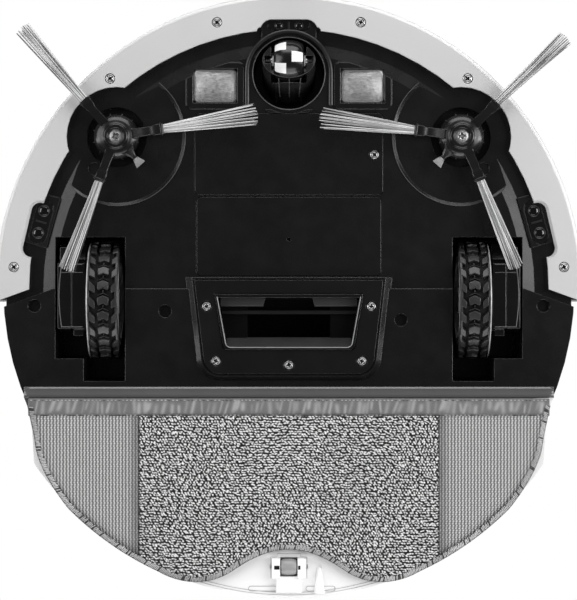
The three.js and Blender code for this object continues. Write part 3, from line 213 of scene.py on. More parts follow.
# Each row is the grey level, the roughness, the texture's strength, the soft edge and what else differs.
MOULDED = {
    "satin_black": (0.0045, 0.27, 0.10, 0.45, {}),
    "dark_frame": (0.005, 0.24, 0.06, 0.5, {}),
    "gloss_black": (0.004, 0.14, 0, 0.4, {"coat": 0.6}),
    # Near black: the axle's colour, and painted shade in the axle's slots.
    "dark_axle_and_slot_shade": (0.003, 0.45, 0.2, 0.4, {"specular": 0.3}),
    "housing_black": (0.004, 0.22, 0.05, 0.6, {}),
    # Lighter than the other black plastics: painted light that falls into the caster's well.
    "fork_lit_black": (0.012, 0.26, 0.05, 0.5, {}),
    # Near black with little reflection, for the duct deep inside the mouth: painted shade.
    "duct_shade_black": (0.0015, 0.8, 0, 0.4, {"specular": 0.08}),
    "hub_black": (0.006, 0.24, 0.05, 0.35, {}),
    "wheel_black": (0.006, 0.22, 0.05, 0.3, {}),
    # Lighter than the chassis, so the arch ridge shows a painted highlight.
    "ridge_highlight_black": (0.012, 0.3, 0, 0.2, {}),
    "inside_black": (0.035, 0.4, 0.1, 0.3, {}),
    "inside_dim": (0.003, 0.5, 0.1, 0.3, {"specular": 0.25}),
    # Painted shade in the grooves and recesses of the screw heads.
    "screw_recess_shade": (0.012, 0.4, 0, 0.1, {}),
    "sensor_ring": (0.006, 0.38, 0, 0.15, {}),
    "lens": (0.002, 0.05, 0, 0.1, {"coat": 1.0}),
    # Thin strips lighter than the black plastic, as painted highlight along edges.
    "dim_highlight": (0.07, 0.3, 0, 0.1, {}),
    # Thin strips lighter still, as painted highlight along bright edges.
    "bright_highlight": (0.22, 0.25, 0, 0.1, {}),
    # Painted shade along the moulded slots, arcs and brackets of the plate's rear.
    "outline_shade_grey": (0.42, 0.4, 0, 0.1, {}),
    # A light grey for the tyre's outer shoulder: painted highlight.
    "tyre_lip_highlight": (0.5, 0.12, 0, 0.2, {"coat": 0.8}),
    "white": (0.74, 0.34, 0.03, 0.5, {"spread": 0.015}),
    "white_gloss": (0.78, 0.18, 0, 0.6, {"spread": 0.01, "coat": 0.4}),
    "flange_white": (0.5, 0.34, 0.03, 0.5, {"spread": 0.015}),
    # Whiter than the other whites: painted light shining through the plate.
    "plate_backlit_white": (0.88, 0.3, 0, 0.5, {"spread": 0.01}),
    "rail_clear": (0.085, 0.16, 0, 0.3, {"spread": 0.05, "coat": 0.5}),
    "grey": (0.16, 0.4, 0.1, 0.4, {}),
    "pale_grey": (0.45, 0.35, 0.05, 0.3, {}),
    "roller_grey": (0.3, 0.35, 0, 0.3, {"spread": 0.03}),
    "rubber": (0.018, 0.36, 0.3, 0.45, {"spread": 0.25}),
    # Painted shade on the floor of the tread between the lugs.
    "tread_groove_shade": (0.003, 0.7, 0.4, 0.2, {"specular": 0.2}),
    "battery_wrap": (0.05, 0.3, 0.05, 0.4, {}),
    "board": (0.03, 0.4, 0.1, 0.4, {}),
    "filter": (0.6, 0.8, 0.4, 0.4, {}),
    "thread": (0.42, 0.8, 0.6, 0.1, {"spread": 0.35}),
    # Dark thread, and the dark core of the edging that shows between its loops as painted shade.
    "dark_thread_and_shade": (0.05, 0.8, 0.6, 0.1, {"spread": 0.5}),
}
LOOKS = {name: moulded(name, *row, **more) for name, (*row, more) in MOULDED.items()}
LOOKS["steel"] = metal("steel", 0.8, 0.33)
LOOKS["nickel"] = metal("nickel", 0.86, 0.36, stretch=(0.6, 4, 1))
LOOKS["bristle_light"] = bristle("bristle_light", 0.62)
LOOKS["bristle_mid"] = bristle("bristle_mid", 0.26)
# The darkest strands, deep in the tuft, are painted shade.
LOOKS["bristle_shade"] = bristle("bristle_shade", 0.05)
# The first grey of each cloth is painted shade in the deep parts of its weave.
LOOKS["pile"] = fabric("pile", 0.008, 0.78, 0.9, 0.5, 1500.0)
LOOKS["knit"] = fabric("knit", 0.10, 0.66, 0.9, 0.4, 1200.0)
LOOKS["band"] = fabric("band", 0.085, 0.30, 0.75, 0.25, 1600.0)


# ---------------------------------------------------------------- CAD nodes


def both(*names):
    """The names of pieces that come in a left and a right one."""
    return [f"{name}_{side}" for name in names for side, _ in SIDES]


SCREWS = [name for name in nodes if "screw" in name]
SENSOR_WINDOWS = ["cliff_sensor_front"] + both("cliff_sensor")
GEARBOXES = both("gearbox_housing", "gearbox_cover")
CAD_LOOKS = {
    "satin_black": ["chassis", "battery_cover", "centre_cover"],
    "dark_frame": ["inlet_frame"],
    "duct_shade_black": ["inlet_duct"],
    "fork_lit_black": ["caster_fork"],
    "flange_white": ["bumper_flange"],
    "gloss_black": ["inlet_lip"] + SENSOR_WINDOWS,
    "housing_black": GEARBOXES + both("brush_hub", "side_brush_motor") + ["fan_housing"],
    "white": ["bumper_shell"] + both("drive_rim"),
    "white_gloss": ["top_cover"],
    "grey": ["dust_bin", "bin_latch", "fan_impeller"],
    "pale_grey": ["power_button", "mop_roller"],
    "rubber": both("drive_tyre") + ["caster_wheel"],
    "battery_wrap": ["battery_pack"],
    "board": ["main_board"],
    "filter": ["bin_filter"],
    "nickel": both("contact"),
    "steel": SCREWS + ["caster_axle"],
}
ROUNDED = GEARBOXES + SENSOR_WINDOWS + [
    "battery_cover", "centre_cover", "inlet_lip", "caster_fork", "bumper_flange", "bumper_shell",
    "top_cover", "dust_bin", "bin_latch", "power_button",
]
# The chassis has a groove with a gentle slope, which a wider limit would smooth away.
SOFT_LIMIT, CHASSIS_SOFT_LIMIT = 30, 12.4


def soft_faces(degrees):
    """Joins the triangles of a mesh and smooths all but its sharp edges, as a modifier's node tree."""
    tree = bpy.data.node_groups.new("soft_faces", "GeometryNodeTree")
    for way in ("INPUT", "OUTPUT"):
        tree.interface.new_socket("Geometry", in_out=way, socket_type="NodeSocketGeometry")

    def add(kind, inputs=(), **settings):
        made = tree.nodes.new(kind)
        for key, value in settings.items():
            setattr(made, key, value)
        for key, value in dict(inputs).items():
            made.inputs[key].default_value = value
        return made

    plain = add("GeometryNodeRemoveAttribute", {"Name": "custom_normal"})
    weld = add("GeometryNodeMergeByDistance", {"Distance": 0.001 * MM})
    smooth = add("GeometryNodeSetShadeSmooth", {"Shade Smooth": True}, domain="FACE")
    sharp = add("GeometryNodeSetShadeSmooth", {"Shade Smooth": False}, domain="EDGE")
    angle = add("GeometryNodeInputMeshEdgeAngle")
    sharpest = {1: math.radians(degrees)}
    limit = add("FunctionNodeCompare", sharpest, data_type="FLOAT", operation="GREATER_THAN")
    tree.links.new(angle.outputs["Unsigned Angle"], limit.inputs[0])
    tree.links.new(limit.outputs[0], sharp.inputs["Selection"])
    chain = [add("NodeGroupInput"), plain, weld, smooth, sharp, add("NodeGroupOutput")]
    for before, after in zip(chain, chain[1:]):
        tree.links.new(before.outputs[0], after.inputs[0])
    return tree


def round_edges(obj, width):
    made = obj.modifiers.new("edges", "BEVEL")
    made.width = width * MM
    made.segments = 2
    made.limit_method = "ANGLE"
    made.angle_limit = math.radians(35)
    made.use_clamp_overlap = True
    made.harden_normals = False


def dress_cad():
    """Gives the CAD nodes their looks, smooth faces, rounded edges and even normals."""
    for look, names in CAD_LOOKS.items():
        for name in names:
            for slot in nodes[name].material_slots:
                slot.material = LOOKS[look]
    wide, close = soft_faces(SOFT_LIMIT), soft_faces(CHASSIS_SOFT_LIMIT)
    for name, node in nodes.items():
        soft = node.modifiers.new("soft_faces", "NODES")
        soft.node_group = close if name == "chassis" else wide
        if name in ROUNDED:
            round_edges(node, 0.3)
        even = node.modifiers.new("even_normals", "WEIGHTED_NORMAL")
        even.keep_sharp = True
        even.weight = 80


def mop_plate_looks():
    """The plate's front rail is clear and dark; the rest of it is a whiter white than the other white
    plastics, which paints the light that shines through the plate.
    """
    rail_end = 70
    plate = nodes["mop_plate"]
    plate.data.materials.clear()
    for look in ("rail_clear", "plate_backlit_white"):
        plate.data.materials.append(LOOKS[look])
    for face in plate.data.polygons:
        face.material_index = 0 if (plate.matrix_world @ face.center).y < rail_end * MM else 1


# ---------------------------------------------------------------- stage, lights and camera, in metres

CAMERA_PLACE = (-0.0002, 0.0027, -1.2)
CAMERA_LENS = 131.9
LAMP_AIM = (0, 0, 0.03)
FLOOR_REACH = 2.5
# Each lamp's place, its width and height, and its power.
LAMPS = {
    "under_left": ((-1.25, -0.35, -0.85), (0.8, 1.4), 11),
    "under_right": ((1.25, -0.2, -0.85), (0.8, 1.4), 16),
    "under_front": ((0.1, -1.35, -0.8), (1.6, 0.7), 13),
    "under_rear": ((0.0, 1.35, -0.8), (1.6, 0.7), 10),
    "rim_left": ((-1.5, 0.1, -0.3), (0.25, 1.8), 7),
    "rim_right": ((1.5, 0.0, -0.3), (0.25, 1.8), 9),
    "rim_front": ((0.0, -1.5, -0.3), (1.8, 0.25), 7),
    "rim_rear": ((0.0, 1.5, -0.3), (1.8, 0.25), 9),
    "over_key": ((-1.2, -1.0, 1.8), (1.2, 1.2), 24),
    "over_fill": ((1.4, 0.8, 1.5), (1.5, 1.5), 16),
}


def world():
    """White to the camera, and a faint even light for everything else."""
    made = bpy.data.worlds.new("studio")
    made.use_nodes = True
    tree = made.node_tree
    background = tree.nodes["Background"]
    background.inputs["Color"].default_value = (1, 1, 1, 1)
    ambient = tree.nodes.new("ShaderNodeBackground")
    ambient.inputs["Color"].default_value = (1, 1, 1, 1)
    ambient.inputs["Strength"].default_value = 0.06
    rays = tree.nodes.new("ShaderNodeLightPath")
    blend = tree.nodes.new("ShaderNodeMixShader")
    tree.links.new(rays.outputs["Is Camera Ray"], blend.inputs[0])
    tree.links.new(ambient.outputs[0], blend.inputs[1])
    tree.links.new(background.outputs[0], blend.inputs[2])
    tree.links.new(blend.outputs[0], tree.nodes["World Output"].inputs["Surface"])
    bpy.context.scene.world = made


def floor():
    """A pale floor that shows from above; the view from below looks through it."""
    mesh = bpy.data.meshes.new("floor")
    corners = [(u * FLOOR_REACH, v * FLOOR_REACH, 0) for u, v in ((-1, -1), (1, -1), (1, 1), (-1, 1))]
    mesh.from_pydata(corners, [], [(0, 1, 2, 3)])
    obj = bpy.data.objects.new("floor", mesh)
    obj.location.z = cad_box[0][2] - 0.5 * MM
    bpy.context.scene.collection.objects.link(obj)
    s = Shader("floor", 0.82, 0.7)
    s.colour(s.ramp(s.noise(6.0, 2.0), (0.2, 0.79), (0.8, 0.84)))
    clear = s.tree.nodes.new("ShaderNodeBsdfTransparent")
    side = s.tree.nodes.new("ShaderNodeNewGeometry")
    inputs = {0: side.outputs["Backfacing"], 1: s.bsdf.outputs[0], 2: clear.outputs[0]}
    blend = s.node("ShaderNodeMixShader", inputs)
    s.link(blend.outputs[0], s.tree.nodes["Material Output"].inputs["Surface"])
    mesh.materials.append(s.material)
    for ray in ("diffuse", "glossy", "transmission", "shadow", "volume_scatter"):
        setattr(obj, f"visible_{ray}", False)


def lights():
    for name, (at, size, power) in LAMPS.items():
        data = bpy.data.lights.new(name, "AREA")
        data.shape = "RECTANGLE"
        data.size, data.size_y = size
        data.energy = power
        obj = bpy.data.objects.new(name, data)
        obj.location = at
        obj.rotation_euler = (Vector(LAMP_AIM) - Vector(at)).to_track_quat("-Z", "Y").to_euler()
        obj.visible_camera = False
        bpy.context.scene.collection.objects.link(obj)


def camera():
    """Looks straight up at the underside, with the front of the robot at the top."""
    data = bpy.data.cameras.new("camera")
    data.lens = CAMERA_LENS
    data.sensor_width = 36
    obj = bpy.data.objects.new("camera", data)
    obj.location = CAMERA_PLACE
    obj.rotation_euler = (math.pi, 0, 0)
    bpy.context.scene.collection.objects.link(obj)
    bpy.context.scene.camera = obj


# ---------------------------------------------------------------- mesh building


class Piece:
    """Collects parts of one mesh in millimetres, then makes it and ties it to its body."""

    def __init__(self):
        self.verts, self.faces, self.looks, self.count = [], [], [], 0

    def add(self, verts, faces, look=0):
        verts = np.asarray(verts, float).reshape(-1, 3)
        self.verts.append(verts)
        self.faces.extend(tuple(i + self.count for i in face) for face in faces)
        self.looks.extend([look] * len(faces))
        self.count += len(verts)

    def grid(self, points, look=0, wrap=False):
        """A sheet of quads through an array of rows x columns x 3; wrap closes the columns."""
        points = np.asarray(points, float)
        rows, columns = points.shape[:2]
        faces = []
        for i in range(rows - 1):
            for j in range(columns if wrap else columns - 1):
                k = (j + 1) % columns
                faces.append((i * columns + j, i * columns + k, (i + 1) * columns + k, (i + 1) * columns + j))
        self.add(points, faces, look)

    def cap(self, first, count, look=0, turned=False):
        """One face over a ring of points that starts at the given one."""
        ring = range(first, first + count)
        self.faces.append(tuple(reversed(ring)) if turned else tuple(ring))
        self.looks.append(look)

    def loft(self, rings, look=0):
        """Rings of points joined into a closed body."""
        first, columns = self.count, len(rings[0])
        self.grid(rings, look, wrap=True)
        self.cap(first, columns, look, turned=True)
        self.cap(self.count - columns, columns, look)

    def prism(self, corners, heights, look=0):
        """A straight body with the given (x, y) corners between two heights."""
        self.loft([[(x, y, height) for x, y in corners] for height in heights], look)

    def lathe(self, profile, centre, axis, segments, look=0):
        """A profile of (radius, distance along the axis) turned about the axis."""
        across, up, along = basis(axis)
        angles = 2 * math.pi * np.arange(segments) / segments
        wheel = np.outer(np.cos(angles), across) + np.outer(np.sin(angles), up)
        self.grid([wheel * r + np.asarray(centre) + along * h for r, h in profile], look, wrap=True)

    def tube(self, path, radii, sides=6, look=0, flat=1.0):
        """A tube along a path; flat below 1 squeezes it along the Z axis."""
        path = np.asarray(path, float)
        if np.isscalar(radii):
            radii = [radii] * len(path)
        angles = 2 * math.pi * np.arange(sides) / sides
        rings = []
        for i, at in enumerate(path):
            across, up, _ = basis(path[min(i + 1, len(path) - 1)] - path[max(i - 1, 0)])
            ring = np.outer(np.cos(angles), across) + np.outer(np.sin(angles), up)
            ring[:, 2] *= flat
            rings.append(at + ring * radii[i])
        self.loft(rings, look)

    def build(self, name, body, looks, replaces=(), angle=32, merge=True, bevel=0.0):
        """Makes the mesh; edges sharper than the angle in degrees stay sharp."""
        mesh = bpy.data.meshes.new(name)
        mesh.from_pydata((np.concatenate(self.verts) * MM).tolist(), [], self.faces)
        for look in looks:
            mesh.materials.append(LOOKS[look])
        mesh.polygons.foreach_set("material_index", self.looks)
        shape = bmesh.new()
        shape.from_mesh(mesh)
        if merge:
            bmesh.ops.remove_doubles(shape, verts=shape.verts, dist=0.002 * MM)
            bmesh.ops.dissolve_degenerate(shape, edges=shape.edges, dist=0.001 * MM)
        bmesh.ops.recalc_face_normals(shape, faces=shape.faces)
        shape.to_mesh(mesh)
        shape.free()
        obj = bpy.data.objects.new(name, mesh)
        bpy.context.scene.collection.objects.link(obj)
        mesh.shade_smooth()
        mesh.set_sharp_from_angle(angle=math.radians(angle))
        if bevel:
            round_edges(obj, bevel)
        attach(obj, body)
        if replaces:
            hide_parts(*replaces)
        return obj


def basis(axis):
    """Two directions square to an axis, and the axis itself, each of length 1."""
    along = np.asarray(axis, float)
    along = along / np.linalg.norm(along)
    helper = np.array([0.0, 0.0, 1.0]) if abs(along[2]) < 0.9 else np.array([0.0, 1.0, 0.0])
    across = np.cross(helper, along)
    across /= np.linalg.norm(across)
    return across, np.cross(along, across), along


def box_of(name):
    """The lowest and highest corners of a CAD node."""
    low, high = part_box(name)
    return np.array(low) / MM, np.array(high) / MM


def middle_of(name):
    low, high = box_of(name)
    return (low + high) / 2


def facing(angle):
    return np.array([math.cos(angle), math.sin(angle), 0.0])


def arc(x, y, radii, first, last, steps, z):
    """Points along an ellipse between two angles in degrees; a negative radius mirrors it."""
    angles = np.radians(np.linspace(first, last, steps + 1))
    return [(x + radii[0] * math.cos(a), y + radii[1] * math.sin(a), z) for a in angles]


def rounded_outline(x, y, half_x, half_y, radius, z):
    """The points of a rounded rectangle, anticlockwise."""
    points = []
    for quarter, (sx, sy) in enumerate(((1, 1), (-1, 1), (-1, -1), (1, -1))):
        corner_x, corner_y = x + sx * (half_x - radius), y + sy * (half_y - radius)
        points += arc(corner_x, corner_y, (radius, radius), 90 * quarter, 90 * quarter + 90, 6, z)
    return points


def strips(name, body, look, lines, angle=60):
    """Thin rounded strips, each given as its points, its radius and its number of sides."""
    piece = Piece()
    for points, radius, sides in lines:
        piece.tube(points, radius, sides)
    piece.build(name, body, [look], angle=angle)


# ---------------------------------------------------------------- screws

# Shares of the head's radius, and the lift of a grooved head at each of them.
HEAD_RINGS = (0.0, 0.1, 0.2, 0.3, 0.38, 0.44, 0.5, 0.56, 0.6, 0.64, 0.7, 0.74, 0.8, 0.9, 1.0)
HEAD_LIFT = (0, 0, 0, 0, 0, 0, 0, 0.02, 0.06, 0.3, 0.3, 0.08, 0.02, 0.06, 0.22)
HEAD_SEGMENTS = 48
HEAD_THICK = 1.3
RECESS_DEPTH = 0.4
RECESS_REACH = 0.5


def recess(u, v):
    """How deep the cross recess is, from 0 to 1, at a place in shares of the head's radius."""
    near, far = sorted((abs(u), abs(v)))
    if far >= RECESS_REACH:
        return 0.0
    return max(0.0, 1 - max(0.0, near - 0.1) / 0.06) * min(1.0, (RECESS_REACH - far) / 0.1)


def screw_head(piece, x, y, z, radius, turn, grooved):
    """A head facing down: a cross recess in its middle, a groove round that, and a rounded rim; the groove
    and the recess are painted darker as shade.
    """
    depth = radius * RECESS_DEPTH
    rings = []
    for share, lift in zip(HEAD_RINGS, HEAD_LIFT):
        if not grooved:
            lift = 0.12 * share**3
        ring = []
        for k in range(HEAD_SEGMENTS):
            angle = 2 * math.pi * k / HEAD_SEGMENTS
            sunk = depth * recess(share * math.cos(angle - turn), share * math.sin(angle - turn))
            at = np.array([x, y, z + radius * lift + sunk])
            ring.append(at + facing(angle) * radius * share)
        rings.append(ring)
    angles = [2 * math.pi * k / HEAD_SEGMENTS for k in range(HEAD_SEGMENTS)]
    rings.append([np.array([x, y, z + HEAD_THICK]) + facing(angle) * radius for angle in angles])
    # The groove rings, and the faces down in the recess, take the second look: painted shade.
    piece.grid(rings[:9], 0, wrap=True)
    piece.grid(rings[8:12], 1 if grooved else 0, wrap=True)
    piece.grid(rings[11:], 0, wrap=True)
    heights = np.concatenate(piece.verts)[:, 2] - z
    for i, face in enumerate(piece.faces):
        deep = max(heights[k] for k in face)
        if piece.looks[i] == 0 and depth * 0.3 < deep < depth * 1.05:
            piece.looks[i] = 1
    piece.cap(piece.count - HEAD_SEGMENTS, HEAD_SEGMENTS)


def screws():
    rng = random.Random(11)
    for name in SCREWS:
        low, high = box_of(name)
        x, y, _ = middle_of(name)
        brush = name.startswith("brush")
        radius = (high[0] - low[0]) / 2
        piece = Piece()
        screw_head(piece, x, y, low[2], radius, rng.uniform(0, math.pi / 2), not brush)
        piece.tube([(x, y, low[2] + 1.4), (x, y, high[2])], radius * 0.5, 16)
        body = name.replace("brush_screw", "brush") if brush else "chassis"
        piece.build(name + "_head", body, ["steel", "screw_recess_shade"], [name], angle=50)


# ---------------------------------------------------------------- drive wheels

TREAD_PITCHES = 24
TREAD_DEPTH = 2.3
# Outlines of the tread as (across the tyre, forwards along it).
LUG_CENTRE = [
    (-3.2, 1.0), (-2.9, 1.5), (0, 2.6), (2.9, 1.5), (3.2, 1.0),
    (3.0, -2.0), (2.3, -2.5), (0, -1.5), (-2.3, -2.5), (-3.0, -2.0),
]
LUG_SIDE = [
    (4.5, -1.0), (4.7, -0.4), (7.2, 1.9), (7.6, 1.8), (7.6, -2.3), (7.2, -2.8), (4.7, -4.1), (4.4, -3.6),
]
RIDGE = [(-2.9, 2.6), (0, 3.75), (2.9, 2.6), (2.9, 2.85), (0, 4.1), (-2.9, 2.85)]
BAR = [(-0.25, -3.6), (0.25, -3.6), (0.25, -2.3), (-0.25, -2.3)]


def wrap_lug(piece, outline, phase, centre, radius, rise, side):
    """An outline wrapped round the tyre and raised, a little narrower at its top."""
    middle = np.mean(outline, axis=0)
    rings = []
    for lift, shrink in ((-0.3, 1.06), (rise - 0.25, 1.0), (rise, 0.9)):
        ring = []
        for u, v in middle + (np.array(outline) - middle) * shrink:
            angle = phase + v / radius
            r = radius + lift
            ring.append(centre + np.array([side * u, -r * math.sin(angle), -r * math.cos(angle)]))
        rings.append(ring)
    piece.loft(rings)


def tyre(side, sign):
    name = f"drive_tyre_{side}"
    low, high = box_of(name)
    centre = middle_of(name)
    half, _, full = (high - low) / 2
    base = full - TREAD_DEPTH
    piece = Piece()
    profile = [
        (full - 9.2, -half + 1.2), (full - 6, -half + 0.4), (full - 2.6, -half), (full - 0.9, -half + 0.05),
        (full - 0.5, -half + 0.5), (full - 0.5, -half + 1.6), (base, -half + 2.0), (base, 0),
        (base, half - 1.6), (full - 1.2, half - 1.0), (full - 1.0, half - 0.4), (full - 1.8, half),
        (full - 6, half - 0.3), (full - 9.2, half - 1.2), (full - 9.2, -half + 1.2),
    ]
    piece.lathe(profile[:6], centre, (sign, 0, 0), 96)
    # The floor of the tread between the lugs takes the second look, near black: painted shade.
    piece.lathe(profile[5:10], centre, (sign, 0, 0), 96, look=1)
    piece.lathe(profile[9:], centre, (sign, 0, 0), 96)
    middle = centre - np.array([sign * 0.3, 0, 0])
    for k in range(TREAD_PITCHES):
        phase = 2 * math.pi * k / TREAD_PITCHES
        wrap_lug(piece, LUG_CENTRE, phase, middle, base, TREAD_DEPTH, sign)
        wrap_lug(piece, RIDGE, phase, middle, base, TREAD_DEPTH * 0.7, sign)
        wrap_lug(piece, BAR, phase, middle, base, TREAD_DEPTH * 0.55, sign)
        for flip in (1, -1):
            outline = [(flip * u, v) for u, v in LUG_SIDE]
            wrap_lug(piece, outline[::flip], phase, middle, base, TREAD_DEPTH * 0.97, sign)
    piece.build(f"tyre_{side}", f"wheel_{side}", ["rubber", "tread_groove_shade"], [name], 38, bevel=0.16)

    # A light grey glossy ring on the tyre's outer shoulder: painted highlight.
    edge = Piece()
    lip = [
        (full - 2.6, half - 0.1), (full - 0.95, half - 0.1), (full - 0.7, half + 0.15),
        (full - 0.8, half + 0.5), (full - 1.3, half + 0.7), (full - 2.6, half + 0.6),
        (full - 2.6, half - 0.1),
    ]
    edge.lathe(lip, centre, (sign, 0, 0), 128)
    edge.build(f"tyre_lip_highlight_{side}", f"wheel_{side}", ["tyre_lip_highlight"], angle=50)


# ---------------------------------------------------------------- side brushes

# Directions of the arms and of the short stub, in degrees.
ARM_ANGLES = {"left": (-131.0, -8.7, 110.0), "right": (-43.6, -172.7, 67.6)}
STUB_ANGLES = {"left": 48.4, "right": 131.8}
ARM_REACH = 26.5
TUFT_REACH = 79.0
TUFT_SPREAD = (4.3, 6.3, 4.0)
STRANDS = 54
BUNDLES = 3.5
HUB_PROFILE = [
    (4.3, 3.4), (4.3, 0.5), (4.6, 0.15), (6.0, 0.0), (6.5, 0.25), (6.8, 0.8), (6.9, 1.7), (7.3, 1.95),
    (8.4, 2.15), (9.6, 2.6), (10.7, 3.4), (11.6, 4.5), (12.2, 5.9), (12.5, 7.4), (12.6, 10.5), (4.3, 10.5),
    (4.3, 3.4),
]
HUB_TICK = ((11.5, -0.25), (12.9, -0.25), (12.9, 0.25), (11.5, 0.25))
# Corners of a cross section, in shares of its half width and its thickness.
ARM_CORNERS = ((-1, 0.25), (-0.86, 0), (0.86, 0), (1, 0.25), (1, 0.8), (0.8, 1), (-0.8, 1), (-1, 0.8))
STUB_CORNERS = ((-1, 0), (-0.7, 0.35), (0.7, 0.35), (1, 0), (1, 1), (-1, 1))
BOX_CORNERS = ((-1, 0), (1, 0), (1, 1), (-1, 1))


def section(hub_at, angle, reach, half, z, thick, corners):
    """A ring of points across a direction from the hub, at a reach from its axis."""
    out, side, up = facing(angle), facing(angle + math.pi / 2), np.array([0.0, 0.0, 1.0])
    return [hub_at + out * reach + side * half * u + up * (z + thick * w) for u, w in corners]


def arm(piece, hub_at, angle, z_top, z_end):
    """A bowed arm with a crimped, wider socket at its end."""
    sections = [
        (6.0, 3.3, z_top + 1.6, 3.2), (10.0, 2.9, z_top + 1.2, 3.0), (14.0, 2.6, z_end + 0.6, 2.4),
        (18.0, 2.5, z_end, 2.2), (20.2, 2.55, z_end, 2.2), (20.9, 3.0, z_end - 0.35, 2.7),
        (ARM_REACH - 0.6, 3.25, z_end - 0.35, 2.7), (ARM_REACH, 3.0, z_end - 0.1, 2.2),
    ]
    piece.loft([section(hub_at, angle, *sizes, ARM_CORNERS) for sizes in sections])
    # The mouth of the socket, where the tuft is clamped.
    mouth = [(ARM_REACH - back, 3.1 * 1.14, z_end - 0.55, 3.1) for back in (1.6, 0.7)]
    piece.loft([section(hub_at, angle, *sizes, BOX_CORNERS) for sizes in mouth])


def stub(piece, hub_at, angle, z_top, z_end):
    sections = [
        (6.5, 5.2, z_top + 2.6, 3.0), (11.0, 3.0, z_end + 1.2, 2.2), (14.5, 1.5, z_end + 0.3, 1.8),
        (17.6, 1.1, z_end, 1.6),
    ]
    piece.loft([section(hub_at, angle, *sizes, STUB_CORNERS) for sizes in sections])


def stub_fan(piece, hub_at, angle, z_end):
    """The short strands at the end of the stub."""
    for k in range(9):
        spread = ((k - 4) / 4, 0)
        start, = section(hub_at, angle, 16.4, 1.1, z_end + 0.7, 0, [spread])
        end, = section(hub_at, angle, 21.0, 2.6, z_end + 0.5, 0, [spread])
        piece.tube([start, end], [0.34, 0.42], 6)


def brush(side):
    node = f"brush_hub_{side}"
    z = box_of(node)[0][2]
    x, y, _ = middle_of(f"brush_screw_{side}")
    hub_at = np.array([x, y, 0.0])
    piece = Piece()
    piece.lathe(HUB_PROFILE, (x, y, z), UP, 72)
    angles = [math.radians(a) for a in ARM_ANGLES[side]]
    stub_angle = math.radians(STUB_ANGLES[side])
    for angle in angles:
        arm(piece, hub_at, angle, z + 1.2, z + 0.8)
    stub(piece, hub_at, stub_angle, z + 1.0, z + 0.8)
    for k in range(12):
        angle = math.radians(15 + 30 * k)
        out, across = facing(angle), facing(angle + math.pi / 2)
        tick = [(hub_at + out * a + across * b)[:2] for a, b in HUB_TICK]
        piece.prism(tick, (z + 5.4, z + 8.0))
    piece.build(f"brush_{side}_hub", f"brush_{side}", ["hub_black"], [node], 40, bevel=0.18)
    tips = Piece()
    stub_fan(tips, hub_at, stub_angle, z + 0.8)
    tips.build(f"brush_{side}_stub_tip", f"brush_{side}", ["bristle_mid"])
    for number, angle in enumerate(angles, 1):
        tuft(side, number, hub_at, angle, z + 1.9)


def tuft(side, number, hub_at, angle, z):
    """Nylon strands: gathered in the socket, spread at the tip in bundles, a few of them astray."""
    rng = random.Random(100 * number + (7 if side == "left" else 3))
    out, across = facing(angle), facing(angle + math.pi / 2)
    node = f"bristle_{side}_{number}"
    low, high = box_of(node)
    start = ARM_REACH - 3.0
    piece = Piece()
    for k in range(STRANDS):
        share = (k + 0.5) / STRANDS * 2 - 1
        bundle = round(share * BUNDLES) / BUNDLES
        layer = rng.uniform(-1, 1)
        root = 2.0 * share + rng.gauss(0, 0.08)
        tip = TUFT_SPREAD[number - 1] * (0.3 * share + 0.7 * bundle) + rng.gauss(0, 0.22)
        if rng.random() < 0.06:
            tip *= rng.uniform(1.05, 1.25)
        bow = rng.gauss(0, 0.18)
        reach = TUFT_REACH - abs(share) * 1.2 - rng.random() ** 2 * 3.0
        path = []
        for t in (0.0, 0.22, 0.45, 0.68, 0.86, 1.0):
            wide = root + (tip - root) * t + bow * math.sin(math.pi * t)
            drop = layer * (0.9 + 0.5 * t) - 1.4 * t
            at = hub_at + out * (start + (reach - start) * t) + across * wide
            at[2] = min(max(z + drop, low[2] + 0.25), high[2])
            path.append(at)
        # Strands of the far layer, nearer the body, take the darkest grey as painted shade; the others are
        # light or mid grey by chance.
        shade = 2 if layer > 0.45 else (0 if rng.random() < 0.6 else 1)
        piece.tube(path, [0.22] * 5 + [0.15], 6, shade)
    looks = ["bristle_light", "bristle_mid", "bristle_shade"]
    piece.build(f"tuft_{side}_{number}", f"brush_{side}", looks, [node], 70, merge=False)


# ---------------------------------------------------------------- caster

# Directions of the white tiles in degrees, in the left and the right column, each tile 31 degrees wide.
WHITE_TILES = {-1: (-48, -118, -228, -298), 1: (-83, -263)}
TILE_WIDE = 31
TILE_THICK = 1.2
# Half of the barrel as (distance from its middle, radius), and the core that shows at its ends.
BARREL = [(0.0, 11.5), (2.4, 11.35), (4.6, 10.85), (6.4, 10.05), (7.7, 9.1)]
CORE = [(0.0, -9.4), (2.4, -9.4), (2.9, -9.1), (3.0, -7.9), (3.0, 7.9), (2.9, 9.1), (2.4, 9.4), (0.0, 9.4)]


